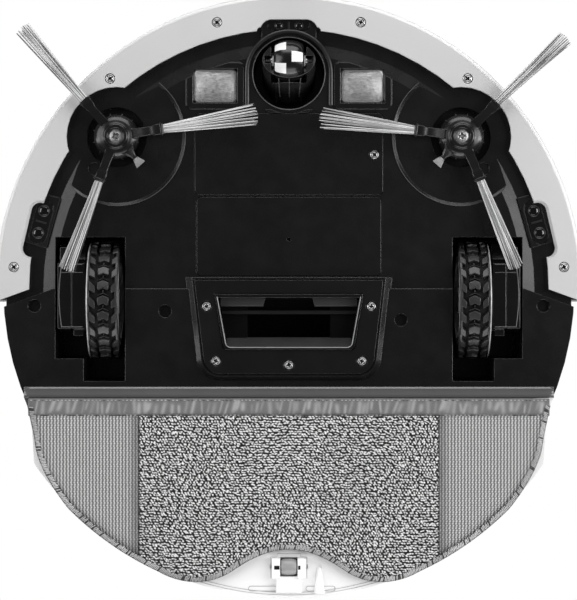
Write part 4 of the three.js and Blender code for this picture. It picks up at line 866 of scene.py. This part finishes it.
def caster_roller():
    low, high = box_of("caster_wheel")
    centre = middle_of("caster_wheel")
    scale = (high[2] - low[2]) / 2 / BARREL[0][1]
    piece = Piece()
    piece.lathe(CORE, centre, RIGHT, 40, look=1)
    stations = [(1.5, BARREL[0][1])] + BARREL[1:]

    def tile_face(column, tile, sunk):
        rows = []
        for x, r in stations:
            angles = [math.radians(tile + (j / 7 - 0.5) * TILE_WIDE) for j in range(8)]
            reach = (r - sunk) * scale
            rows.append([(column * x, -math.cos(a) * reach, math.sin(a) * reach) for a in angles])
        return centre + np.array(rows)

    for column, tiles in WHITE_TILES.items():
        for tile in tiles:
            outer, inner = tile_face(column, tile, 0.0), tile_face(column, tile, TILE_THICK)
            piece.grid(outer, 1)
            for row in (np.s_[0], np.s_[-1], np.s_[:, 0], np.s_[:, -1]):
                piece.grid([outer[row], inner[row]], 1)
    body = [(0.0, -8.3), (7.6, -8.3)] + [(r - 0.05, -x) for x, r in reversed(BARREL)]
    body += [(r - 0.05, x) for x, r in BARREL[1:]] + [(7.6, 8.3), (0.0, 8.3)]
    piece.lathe([(r * scale, h) for r, h in body], centre, RIGHT, 56, look=0)
    looks = ["wheel_black", "white_gloss"]
    piece.build("caster_barrel", "caster_roller", looks, ["caster_wheel"], angle=40)


# ---------------------------------------------------------------- mop cloth

PILE_HALF = 82.5
BAND_DEEP = 9.6
LOOP_PITCH = 1.62
RIB_PITCH = 1.8
STITCH_PITCH = 1.25
CLOTH_INSET = 0.9
EDGING_END = 142.2
EDGING_PITCH = 0.82


def cap_outline(node):
    """The edge loop round the faces of a CAD node that look down, as an ordered list of (x, y)."""
    shape = bmesh.new()
    shape.from_mesh(nodes[node].data)
    bmesh.ops.remove_doubles(shape, verts=shape.verts, dist=0.01 * MM)
    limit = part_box(node)[0][2] + 0.5 * MM
    cap = {f for f in shape.faces if f.normal.z < -0.9 and f.calc_center_median().z < limit}
    ahead = {}
    for face in cap:
        for loop in face.loops:
            if any(f not in cap for f in loop.edge.link_faces):
                place = (loop.vert.co.x / MM, loop.vert.co.y / MM)
                ahead[loop.vert.index] = (loop.link_loop_next.vert.index, place)
    start = next(iter(ahead))
    outline, at = [], start
    while not outline or at != start:
        following, place = ahead[at]
        outline.append(place)
        at = following
    shape.free()
    return outline


def far_edge(outline):
    """The rear edge of the cloth as a function: the greatest y of the outline at each x."""
    def reach(x):
        found = []
        for (xa, ya), (xb, yb) in zip(outline, outline[1:] + outline[:1]):
            if (xa - x) * (xb - x) <= 0 and abs(xa - xb) > 1e-6:
                found.append(ya + (yb - ya) * (x - xa) / (xb - xa))
        return max(found) if found else outline[0][1]
    return reach


def loops(x, y):
    """Heights of a looped pile: one slanted grain in each cell of a shaken grid, from 0 to 1."""
    field = np.random.RandomState(21).rand(256, 256, 4)
    u, v = x / LOOP_PITCH + 300.0, y / (LOOP_PITCH * 0.86) + 300.0
    u = u + 0.5 * (np.floor(v) % 2)
    slant = 0.75 + 0.55 * np.sin(x * 0.031 + 1.3) * np.cos(y * 0.043) + 0.3 * np.sin(x * 0.11 + y * 0.07)
    cell_u, cell_v = np.floor(u), np.floor(v)
    best = np.zeros_like(x)
    for du in (-1, 0, 1):
        for dv in (-1, 0, 1):
            cu, cv = cell_u + du, cell_v + dv
            r = field[cu.astype(int) % 256, cv.astype(int) % 256]
            angle = slant + (r[..., 2] - 0.5) * 1.5
            dx = u - (cu + 0.5 + (r[..., 0] - 0.5) * 0.55)
            dy = v - (cv + 0.5 + (r[..., 1] - 0.5) * 0.55)
            along = dx * np.cos(angle) + dy * np.sin(angle)
            across = -dx * np.sin(angle) + dy * np.cos(angle)
            far = (along / 0.66) ** 2 + (across / 0.40) ** 2
            best = np.maximum(best, np.clip(1 - far, 0, 1) ** 0.55 * (0.75 + 0.25 * r[..., 3]))
    return best


def knit(x, y):
    """Ribs of a knit: zigzag columns of stitches, from 0 to 1."""
    phase = x / RIB_PITCH + 0.22 * np.abs((y / STITCH_PITCH) % 2 - 1)
    rib = 0.5 + 0.5 * np.cos(2 * math.pi * phase)
    row = 0.72 + 0.28 * np.cos(2 * math.pi * y / STITCH_PITCH + 1.2 * np.sin(2 * math.pi * phase))
    return rib**0.8 * row


def gathers(x, y, width):
    """Small slanted folds across the band, from 0 to 1."""
    rng = np.random.RandomState(9)
    total = np.zeros_like(x)
    at = -width
    while at < width:
        at += rng.uniform(1.6, 5.2)
        wide = rng.uniform(0.6, 1.5)
        tilt = rng.uniform(-0.12, 0.42)
        middle, long = rng.uniform(0.35, 0.65), rng.uniform(0.24, 0.55)
        high = rng.uniform(0.35, 1.0)
        fold = np.exp(-(((x - at + tilt * (y - 0.5) * 9) / wide) ** 2))
        total += high * fold * np.exp(-(((y - middle) / long) ** 4))
    return np.clip(total, 0, 1.2)


def cloth_grid(x0, x1, near, far, fine_x, fine_y, surface):
    """Points in rows from near(x) to far(x), with surface giving z and the depth of the weave."""
    columns = max(2, int(round((x1 - x0) / fine_x)))
    longest = max(far(x) - near(x) for x in np.linspace(x0, x1, 40))
    rows = max(2, int(round(longest / fine_y)))
    xs = np.linspace(x0, x1, columns + 1)
    nears, fars = np.array([near(x) for x in xs]), np.array([far(x) for x in xs])
    t = np.linspace(0, 1, rows + 1)[:, None]
    y = nears[None, :] * (1 - t) + fars[None, :] * t
    x = np.broadcast_to(xs[None, :], y.shape)
    z, weave_depth_and_shade = surface(x, y, t)
    return np.stack([x, y, z], axis=-1), weave_depth_and_shade


def cloth_piece(name, face, weave_depth_and_shade, back, look, replaces):
    """A thin closed sheet: its face, a rim, and one plain face behind at the height back."""
    rows, columns = face.shape[:2]
    piece = Piece()
    piece.grid(face)
    rim = [(0, j) for j in range(columns)] + [(i, columns - 1) for i in range(1, rows)]
    rim += [(rows - 1, j) for j in range(columns - 2, -1, -1)] + [(i, 0) for i in range(rows - 2, 0, -1)]
    base, count = piece.count, len(rim)
    piece.add([(face[i, j, 0], face[i, j, 1], back) for i, j in rim], [])
    index = [i * columns + j for i, j in rim]
    for k in range(count):
        m = (k + 1) % count
        piece.faces.append((index[k], index[m], base + m, base + k))
        piece.looks.append(0)
    piece.cap(base, count)
    obj = piece.build(name, "mop", [look], replaces, angle=180, merge=False)
    # The material reads the depth of the weave at each point of the mesh, and paints shade where it is deep.
    depths = np.full(piece.count, 0.4, np.float32)
    depths[: rows * columns] = weave_depth_and_shade.ravel()
    made = obj.data.attributes.new("weave_depth_and_shade", "FLOAT", "POINT")
    made.data.foreach_set("value", depths)
    return obj


def unit(vector):
    return vector / np.linalg.norm(vector)


def overlock(rear, z):
    """Thread wrapped round the cloth's edge, one loop beside the next."""
    rng = random.Random(5)
    path = np.array([(x, rear(x)) for x in np.linspace(-EDGING_END, EDGING_END, 700)])
    # Points at even steps along the curve.
    lengths = np.concatenate([[0.0], np.cumsum(np.linalg.norm(np.diff(path, axis=0), axis=1))])
    marks = np.arange(0.4, lengths[-1], EDGING_PITCH)
    places = np.stack([np.interp(marks, lengths, path[:, 0]), np.interp(marks, lengths, path[:, 1])], axis=-1)
    piece = Piece()
    # A dark core under the loops, which shows between them as painted shade.
    piece.tube([(x, y, z) for x, y in places[::3]], 0.95, 8, 1)
    for k in range(1, len(places) - 1):
        ahead = unit(places[k + 1] - places[k - 1])
        inward = np.array([ahead[1], -ahead[0]])
        slope = unit(inward + ahead * rng.uniform(0.1, 0.5))
        long = rng.uniform(2.7, 3.5)
        middle = places[k] + inward * (long * 0.5 - 1.0)
        steps = []
        for t in (-0.5, -0.34, -0.1, 0.15, 0.36, 0.5):
            lift = 1.25 * math.sqrt(max(0.0, 1 - (1.7 * t + 0.2) ** 2)) if t < 0.3 else 0.35
            steps.append((*(middle - slope * long * t), z - lift))
        piece.tube(steps, [0.2, 0.3, 0.34, 0.34, 0.3, 0.2], 5, 0 if rng.random() < 0.86 else 1)
    looks = ["thread", "dark_thread_and_shade"]
    return piece.build("mop_edging", "mop", looks, angle=80, merge=False)


def band_seams(low, high):
    """Two rows of short stitches along the band."""
    rng = random.Random(8)
    piece = Piece()
    for y in (low[1] + 0.9, low[1] + BAND_DEEP - 0.5):
        x = low[0] + 2
        while x < high[0] - 2:
            shares = (-0.5, -0.25, 0.0, 0.25, 0.5)
            steps = [(x + 1.1 * t, y, low[2] + 1.75 - 0.35 * (1 - (2 * t) ** 2)) for t in shares]
            piece.tube(steps, [0.11, 0.22, 0.22, 0.22, 0.11], 5, 0 if rng.random() < 0.7 else 1)
            x += 2.1
    looks = ["thread", "dark_thread_and_shade"]
    return piece.build("mop_seams", "mop", looks, angle=80, merge=False)


def mop_cloth():
    """The wiping cloth: looped pile in the middle, knit at both sides and a gathered band in front."""
    low, high = box_of("mop_cloth")
    rear = far_edge(cap_outline("mop_cloth"))
    band_far = low[1] + BAND_DEEP
    back = high[2] - 0.3

    def rim(x):
        return rear(x) - CLOTH_INSET

    def knit_rim(x):
        return max(rim(x), band_far + 0.6)

    def fall(x, t):
        """How far the cloth curls back towards the plate at its outer edge."""
        edge = np.clip(1 - (1 - t) * 9, 0, 1)
        sides = np.clip((np.abs(x) - (high[0] - 3.5)) / 2.6, 0, 1)
        return 1.6 * edge**2 + 1.4 * sides**2

    def pile_surface(x, y, t):
        weave_depth_and_shade = loops(x, y)
        swell = 0.25 * np.sin(x * 0.06) * np.sin(y * 0.09)
        border = np.clip((PILE_HALF - np.abs(x)) / 1.4, 0, 1)
        z = low[2] + 1.25 + 0.35 * swell - weave_depth_and_shade * 0.85 + (1 - border) * 1.1 + fall(x, t) * 0.6
        return np.maximum(z, low[2] + 0.05), weave_depth_and_shade * (0.35 + 0.65 * border)

    def knit_surface(x, y, t):
        weave_depth_and_shade = knit(x, y)
        inner = np.clip(1 - (np.abs(x) - PILE_HALF) / 9.0, 0, 1)
        pucker = 0.22 * np.sin(y * 0.21 + 0.6 * np.sin(x * 0.12)) * np.sin(x * 0.17 + 1.0)
        z = low[2] + 2.1 - weave_depth_and_shade * 0.38 + pucker + 0.35 * inner + fall(x, t) * 0.7
        return z, weave_depth_and_shade * (1 - 0.45 * inner * np.abs(np.sin(np.abs(x) * 0.5)))

    def band_surface(x, y, t):
        folds = gathers(x, (y - low[1]) / BAND_DEEP, high[0] + 5)
        hem = np.clip(np.minimum(t, 1 - t) * 7, 0, 1)
        return low[2] + 1.7 - 0.62 * folds * hem + 0.7 * (1 - hem), 0.3 + 0.62 * folds * hem

    def sheet(name, x0, x1, near, far, pitch, surface, look, replaces=()):
        points, weave_depth_and_shade = cloth_grid(x0, x1, near, far, *pitch, surface)
        return cloth_piece(name, points, weave_depth_and_shade, back, look, replaces), points

    def band_line(x):
        return band_far

    fine = (0.42, 0.42)
    replaces = ["mop_cloth"]
    sheets = [sheet("mop_pile", -PILE_HALF, PILE_HALF, band_line, rim, fine, pile_surface, "pile", replaces)]
    spans = {"left": (low[0] + CLOTH_INSET, -PILE_HALF), "right": (PILE_HALF, high[0] - CLOTH_INSET)}
    for side, span in spans.items():
        sheets.append(
            sheet(f"mop_knit_{side}", *span, band_line, knit_rim, (0.4, 0.42), knit_surface, "knit")
        )
    band = sheet(
        "mop_band", low[0] + 0.4, high[0] - 0.4, lambda x: low[1] + 0.1, lambda x: band_far - 0.1,
        (0.45, 0.5), band_surface, "band",
    )
    edging = overlock(rear, low[2] + 2.0)
    seams = band_seams(low, high)


# ---------------------------------------------------------------- contacts and sensors

PLATE_CORNER = 1.6
PLATE_CROWN = 1.1
PLATE_THICK = 1.0
PLATE_STEP = 2.2
PLATE_SHARES = (1.0, 0.97, 0.93, 0.86, 0.76, 0.64, 0.5, 0.36, 0.22, 0.08)
SENSOR_ANGLE = math.radians(74.9)
# Each sensor's turn, the distance of its lenses from its middle, and their radius.
SENSORS = {
    "front": (0.0, 5.6, 2.5),
    "left": (-SENSOR_ANGLE, 6.3, 3.4),
    "right": (SENSOR_ANGLE - math.pi, 6.3, 3.4),
}


def close_points(ring, gap):
    """The same closed outline with points no farther apart than gap."""
    points = []
    for (ax, ay, az), (bx, by, _) in zip(ring, ring[1:] + ring[:1]):
        count = max(1, math.ceil(math.hypot(bx - ax, by - ay) / gap))
        points += [(ax + (bx - ax) * k / count, ay + (by - ay) * k / count, az) for k in range(count)]
    return points


def domed_plate(piece, x, y, half_x, half_y, z):
    """A thin plate with rounded corners; its lower face bulges a little towards the floor."""
    def outline(inset, height):
        ring = rounded_outline(x, y, half_x - inset, half_y - inset, PLATE_CORNER, height)
        return close_points(ring, PLATE_STEP)

    rings = [outline(0, z + PLATE_THICK), outline(0, z + 0.25)]
    for share in PLATE_SHARES:
        ring = []
        for px, py, _ in outline(0.25, 0):
            u, v = (px - x) / half_x * share, (py - y) / half_y * share
            ring.append((x + u * half_x, y + v * half_y, z - PLATE_CROWN * (1 - u * u) * (1 - v * v)))
        rings.append(ring)
    piece.loft(rings)


def contacts():
    """Charging plates: satin nickel, each with a thin light strip round it as painted highlight."""
    for side, _ in SIDES:
        node = f"contact_{side}"
        low, high = box_of(node)
        x, y, _ = middle_of(node)
        half_x, half_y, _ = (high - low) / 2
        piece = Piece()
        domed_plate(piece, x, y, half_x, half_y, low[2])
        piece.build(f"contact_plate_{side}", "chassis", ["nickel"], [node], angle=50)
        ring = rounded_outline(x, y, half_x + 0.1, half_y + 0.1, PLATE_CORNER + 0.1, low[2] - 0.1)
        strips(f"contact_border_{side}", "chassis", "bright_highlight", [(ring + ring[:1], 0.2, 6)], angle=32)


def lens_pair(piece, at, turn, spacing, radius):
    """Two domed lenses in rings, with a rib between them."""
    along, across = facing(turn), facing(turn + math.pi / 2)
    angles = [math.radians(a) for a in (90, 72, 54, 36, 18, 0)]
    dome = [(radius * 0.74 * math.cos(a), -0.5 * math.sin(a)) for a in angles]
    profile = [(0.78, 0.3), (0.78, -0.25), (0.86, -0.45), (0.96, -0.3), (1.0, 0.3)]
    ring = [(radius * share, height) for share, height in profile]
    for sign in (-1, 1):
        lens_at = at + along * spacing * sign
        piece.lathe(dome, lens_at, UP, 32, look=0)
        piece.lathe(ring, lens_at, UP, 32, look=1)
    square = ((-1, -1), (1, -1), (1, 1), (-1, 1))
    corners = [(at + along * a * 0.5 + across * b * radius * 0.9)[:2] for a, b in square]
    piece.prism(corners, (at[2] + 0.3, at[2] - 0.3), 1)


def sensors():
    for name, (turn, spacing, radius) in SENSORS.items():
        node = f"cliff_sensor_{name}"
        at = middle_of(node)
        at[2] = box_of(node)[0][2]
        piece = Piece()
        lens_pair(piece, at, turn, spacing, radius)
        looks = ["lens", "sensor_ring"]
        piece.build(f"sensor_lens_{name}", "chassis", looks, angle=60)


# ---------------------------------------------------------------- painted edge highlights, ribs and the suction mouth

ARCH_RADIUS = 23.1
WELL_RADIUS = 19.95
DISH_RADIUS = 37.9


def well_trims():
    """The rounded ridge that arches round the caster, and thin strips at the rims of its well and the brush
    dishes, all in greys lighter than the chassis as painted highlight.
    """
    axis_y = box_of("caster_fork")[1][1] - 15.0
    floor_z = box_of("battery_cover")[0][2]
    z = floor_z - 0.3
    leg = [axis_y + 17.4, axis_y + 8]
    path = [(-ARCH_RADIUS, y, z) for y in leg]
    path += arc(0, axis_y, (ARCH_RADIUS, ARCH_RADIUS), -180, 0, 32, z)
    path += [(ARCH_RADIUS, y, z) for y in reversed(leg)]
    ridge = Piece()
    ridge.tube(path, 1.25, 12, flat=0.62)
    ridge.build("caster_arch", "chassis", ["ridge_highlight_black"], angle=60)
    lines = [(arc(0, axis_y, (WELL_RADIUS, WELL_RADIUS), 0, 360, 72, floor_z - 0.05), 0.3, 8)]
    for side, sign in SIDES:
        x, y, _ = middle_of(f"brush_screw_{side}")
        lines.append((arc(x, y, (-sign * DISH_RADIUS, DISH_RADIUS), -52, 98, 60, floor_z - 0.14), 0.22, 6))
    strips("well_rim_highlights", "chassis", "dim_highlight", lines)


def inlet_details():
    """A thin light strip along the lip as painted highlight, and the tray, bar and ramp that show inside the
    mouth.
    """
    low, high = box_of("inlet_lip")
    tray = box_of("inlet_duct")[0][2]
    front, rear, wide = low[1] + 1.3, high[1] - 1.3, high[0] - 1.3
    narrow = wide - 4.5
    corner = 3.2
    z = low[2] - 0.02
    half = [(wide, front, z)] + arc(narrow - corner, rear - corner, (corner, corner), 0, 90, 7, z)
    path = half + [(-px, py, pz) for px, py, pz in reversed(half)]
    strips("inlet_edge_highlight", "chassis", "bright_highlight", [(path, 0.26, 8)])

    inside = Piece()
    for sign in (-1, 1):
        inner, slant, outer = 12.6 * sign, 14.2 * sign, (wide - 1.6) * sign
        block = []
        for z, grow in ((tray - 1.6, 0.0), (tray - 0.9, 0.5), (tray + 0.4, 0.6)):
            near, far = 0.2 - grow, 5.9 + grow
            block.append([(slant, far, z), (outer, far, z), (outer, near, z), (inner, near, z)])
        inside.loft(block, 1)
    bar = []
    for z, grow in ((tray - 2.2, 0.0), (tray - 1.5, 0.4), (tray + 0.4, 0.5)):
        near, far = 8.6 - grow, 10.3 + grow
        bar.append([(-37.2, near, z), (38.2, near, z), (38.2, far, z), (-37.2, far, z)])
    inside.loft(bar, 0)
    slope = ((23.2, 0.3), (28.6, -3.4), (29.2, -3.4), (29.2, 0.4))
    inside.loft([[(px, py, tray + lift) for py, lift in slope] for px in (-34.5, 34.5)], 0)
    inside.build("inlet_inside", "chassis", ["inside_dim", "inside_black"], bevel=0.2)


def fork_highlights():
    """Painted highlights: a light line round the fork's face and down the ribs of its rear slope."""
    z = box_of("caster_fork")[0][2]
    wheel_y = middle_of("caster_wheel")[1]
    lines = [(arc(0, wheel_y, (14.3, 9.8), -20, 200, 44, z + 0.25), 0.16, 6)]
    for x in (-5.6, 0.2, 6.4):
        lines.append(([(x, wheel_y + 10.4, z + 0.8), (x * 0.9, wheel_y + 19.0, z + 17)], [0.24, 0.3], 8))
    strips("fork_highlights", "caster", "dim_highlight", lines)


def gearbox_highlights():
    """Mould ribs and steps on the two halves of each gearbox, as thin strips lighter than the housing:
    painted highlight.
    """
    front, rear = -17.0, 17.5
    for side, sign in SIDES:
        cover = box_of(f"gearbox_cover_{side}")
        housing = box_of(f"gearbox_housing_{side}")
        base = max(cover[0][2], housing[0][2]) - 0.1
        outer = cover[1][0] if sign > 0 else cover[0][0]
        inner = housing[0][0] if sign > 0 else housing[1][0]
        edge = []
        for t in (k / 12 for k in range(13)):
            inset = 2.2 - 1.4 * math.sin(math.pi * t)
            edge.append((outer - sign * inset, front + (rear - front) * t, base))
        lines = [(edge, 0.3, 8)]
        for y, radius in ((front, 0.3), (front + 4.5, 0.2), (rear, 0.3)):
            lines.append(([(outer - sign * 2.0, y, base), (inner + sign * 1.2, y, base)], radius, 8))
        strips(f"gearbox_highlights_{side}", f"wheel_unit_{side}", "dim_highlight", lines)


# ---------------------------------------------------------------- mop plate

# The rail's cross section as (behind the plate's front edge, height), closed above.
RAIL_SECTION = [
    (-0.05, 6.6), (0.25, 5.2), (0.9, 4.75), (2.0, 4.9), (3.4, 4.9),
    (3.9, 4.6), (5.2, 4.5), (5.75, 4.8), (5.95, 5.6), (5.95, 6.6),
]
# Distance from the rail's end, and how much the section has shrunk there.
RAIL_ENDS = [(0.0, 0.35), (0.5, 0.12), (2.2, 0.0), (5.0, 0.0)]
ROLLER_HALF = 4.15
SHADE_LINE_RADIUS = 0.16


def mop_rail():
    """The translucent front rail, with softly closed ends."""
    low, high = box_of("mop_plate")
    half = high[0]
    stations = [(-half + inset, shrink) for inset, shrink in RAIL_ENDS]
    stations += [(half - inset, shrink) for inset, shrink in reversed(RAIL_ENDS)]
    rings = []
    for x, shrink in stations:
        ring = []
        for behind, z in RAIL_SECTION:
            y = 3.0 + (behind - 3.0) * (1 - shrink * 0.5) + (shrink * 5 if behind < 1 else 0)
            ring.append((x, low[1] + y, 6.0 + (z - 6.0) * (1 - shrink)))
        rings.append(ring)
    rail = Piece()
    rail.loft(rings)
    rail.build("mop_rail", "mop", ["rail_clear"], angle=40)


def mop_barrel():
    """The barrel-shaped roller at the rear of the plate, on its axle."""
    low, high = box_of("mop_roller")
    centre = middle_of("mop_roller")
    radius = (high[2] - low[2]) / 2
    profile = [(0.0, -ROLLER_HALF)]
    for h in (-ROLLER_HALF + 2 * ROLLER_HALF * k / 14 for k in range(15)):
        profile.append((radius * (1 - 0.16 * abs(h / ROLLER_HALF) ** 2.6), h))
    profile.append((0.0, ROLLER_HALF))
    piece = Piece()
    piece.lathe(profile, centre, RIGHT, 48)
    piece.lathe([(0, -8.5), (1.0, -8.5), (1.0, 8.5), (0, 8.5)], centre, RIGHT, 20, look=1)
    looks = ["roller_grey", "dark_axle_and_slot_shade"]
    piece.build("mop_barrel", "mop_wheel", looks, ["mop_roller"], angle=50)


def tail_shade_lines():
    """Grey lines on the rear of the plate where slots, arcs and brackets are moulded, as painted shade, and
    dark sheets of painted shade in the axle's slots.
    """
    low, high = box_of("mop_plate")
    x, y, _ = middle_of("mop_roller")
    z = 5.74
    lines = []
    for slot_x in (-14.1, 17.4):
        oval = rounded_outline(slot_x, 161.0, 8.0, 1.3, 1.29, z)
        lines.append((oval + oval[:1], 0.17, 6))
    for radius, reach in ((166.6, math.degrees(0.3)), (168.0, math.degrees(0.32))):
        line = arc(0, high[1] - 169.5, (radius, radius), 90 + reach, 90 - reach, 48, z)
        lines.append((line, SHADE_LINE_RADIUS, 6))
    half_frame = [(6.4, -7.2), (6.4, -5.4), (9.9, -5.4), (9.9, 6.4)]
    frame_line = [(x - u, y + v, z) for u, v in reversed(half_frame)]
    frame_line += [(x + u, y + v, z) for u, v in half_frame]
    lines.append((frame_line, SHADE_LINE_RADIUS, 6))
    strips("mop_tail_shade_lines", "mop", "outline_shade_grey", lines)
    # Thin dark sheets on the plate's lower face where the axle's slots are: painted shade.
    slots = Piece()
    for x0, x1 in ((-8.0, -5.1), (5.1, 6.3)):
        corners = [(x + x0, y - 1.0), (x + x1, y - 1.0), (x + x1, y + 1.1), (x + x0, y + 1.1)]
        slots.prism(corners, (low[2] - 0.08, low[2] + 0.4))
    slots.build("mop_axle_slot_shade", "mop", ["dark_axle_and_slot_shade"])


# ---------------------------------------------------------------- the whole

bpy.context.scene.view_settings.view_transform = "Standard"
world()
floor()
lights()
camera()
dress_cad()
mop_plate_looks()
screws()
for side, sign in SIDES:
    tyre(side, sign)
    brush(side)
caster_roller()
mop_cloth()
contacts()
sensors()
well_trims()
inlet_details()
fork_highlights()
gearbox_highlights()
mop_rail()
mop_barrel()
tail_shade_lines()
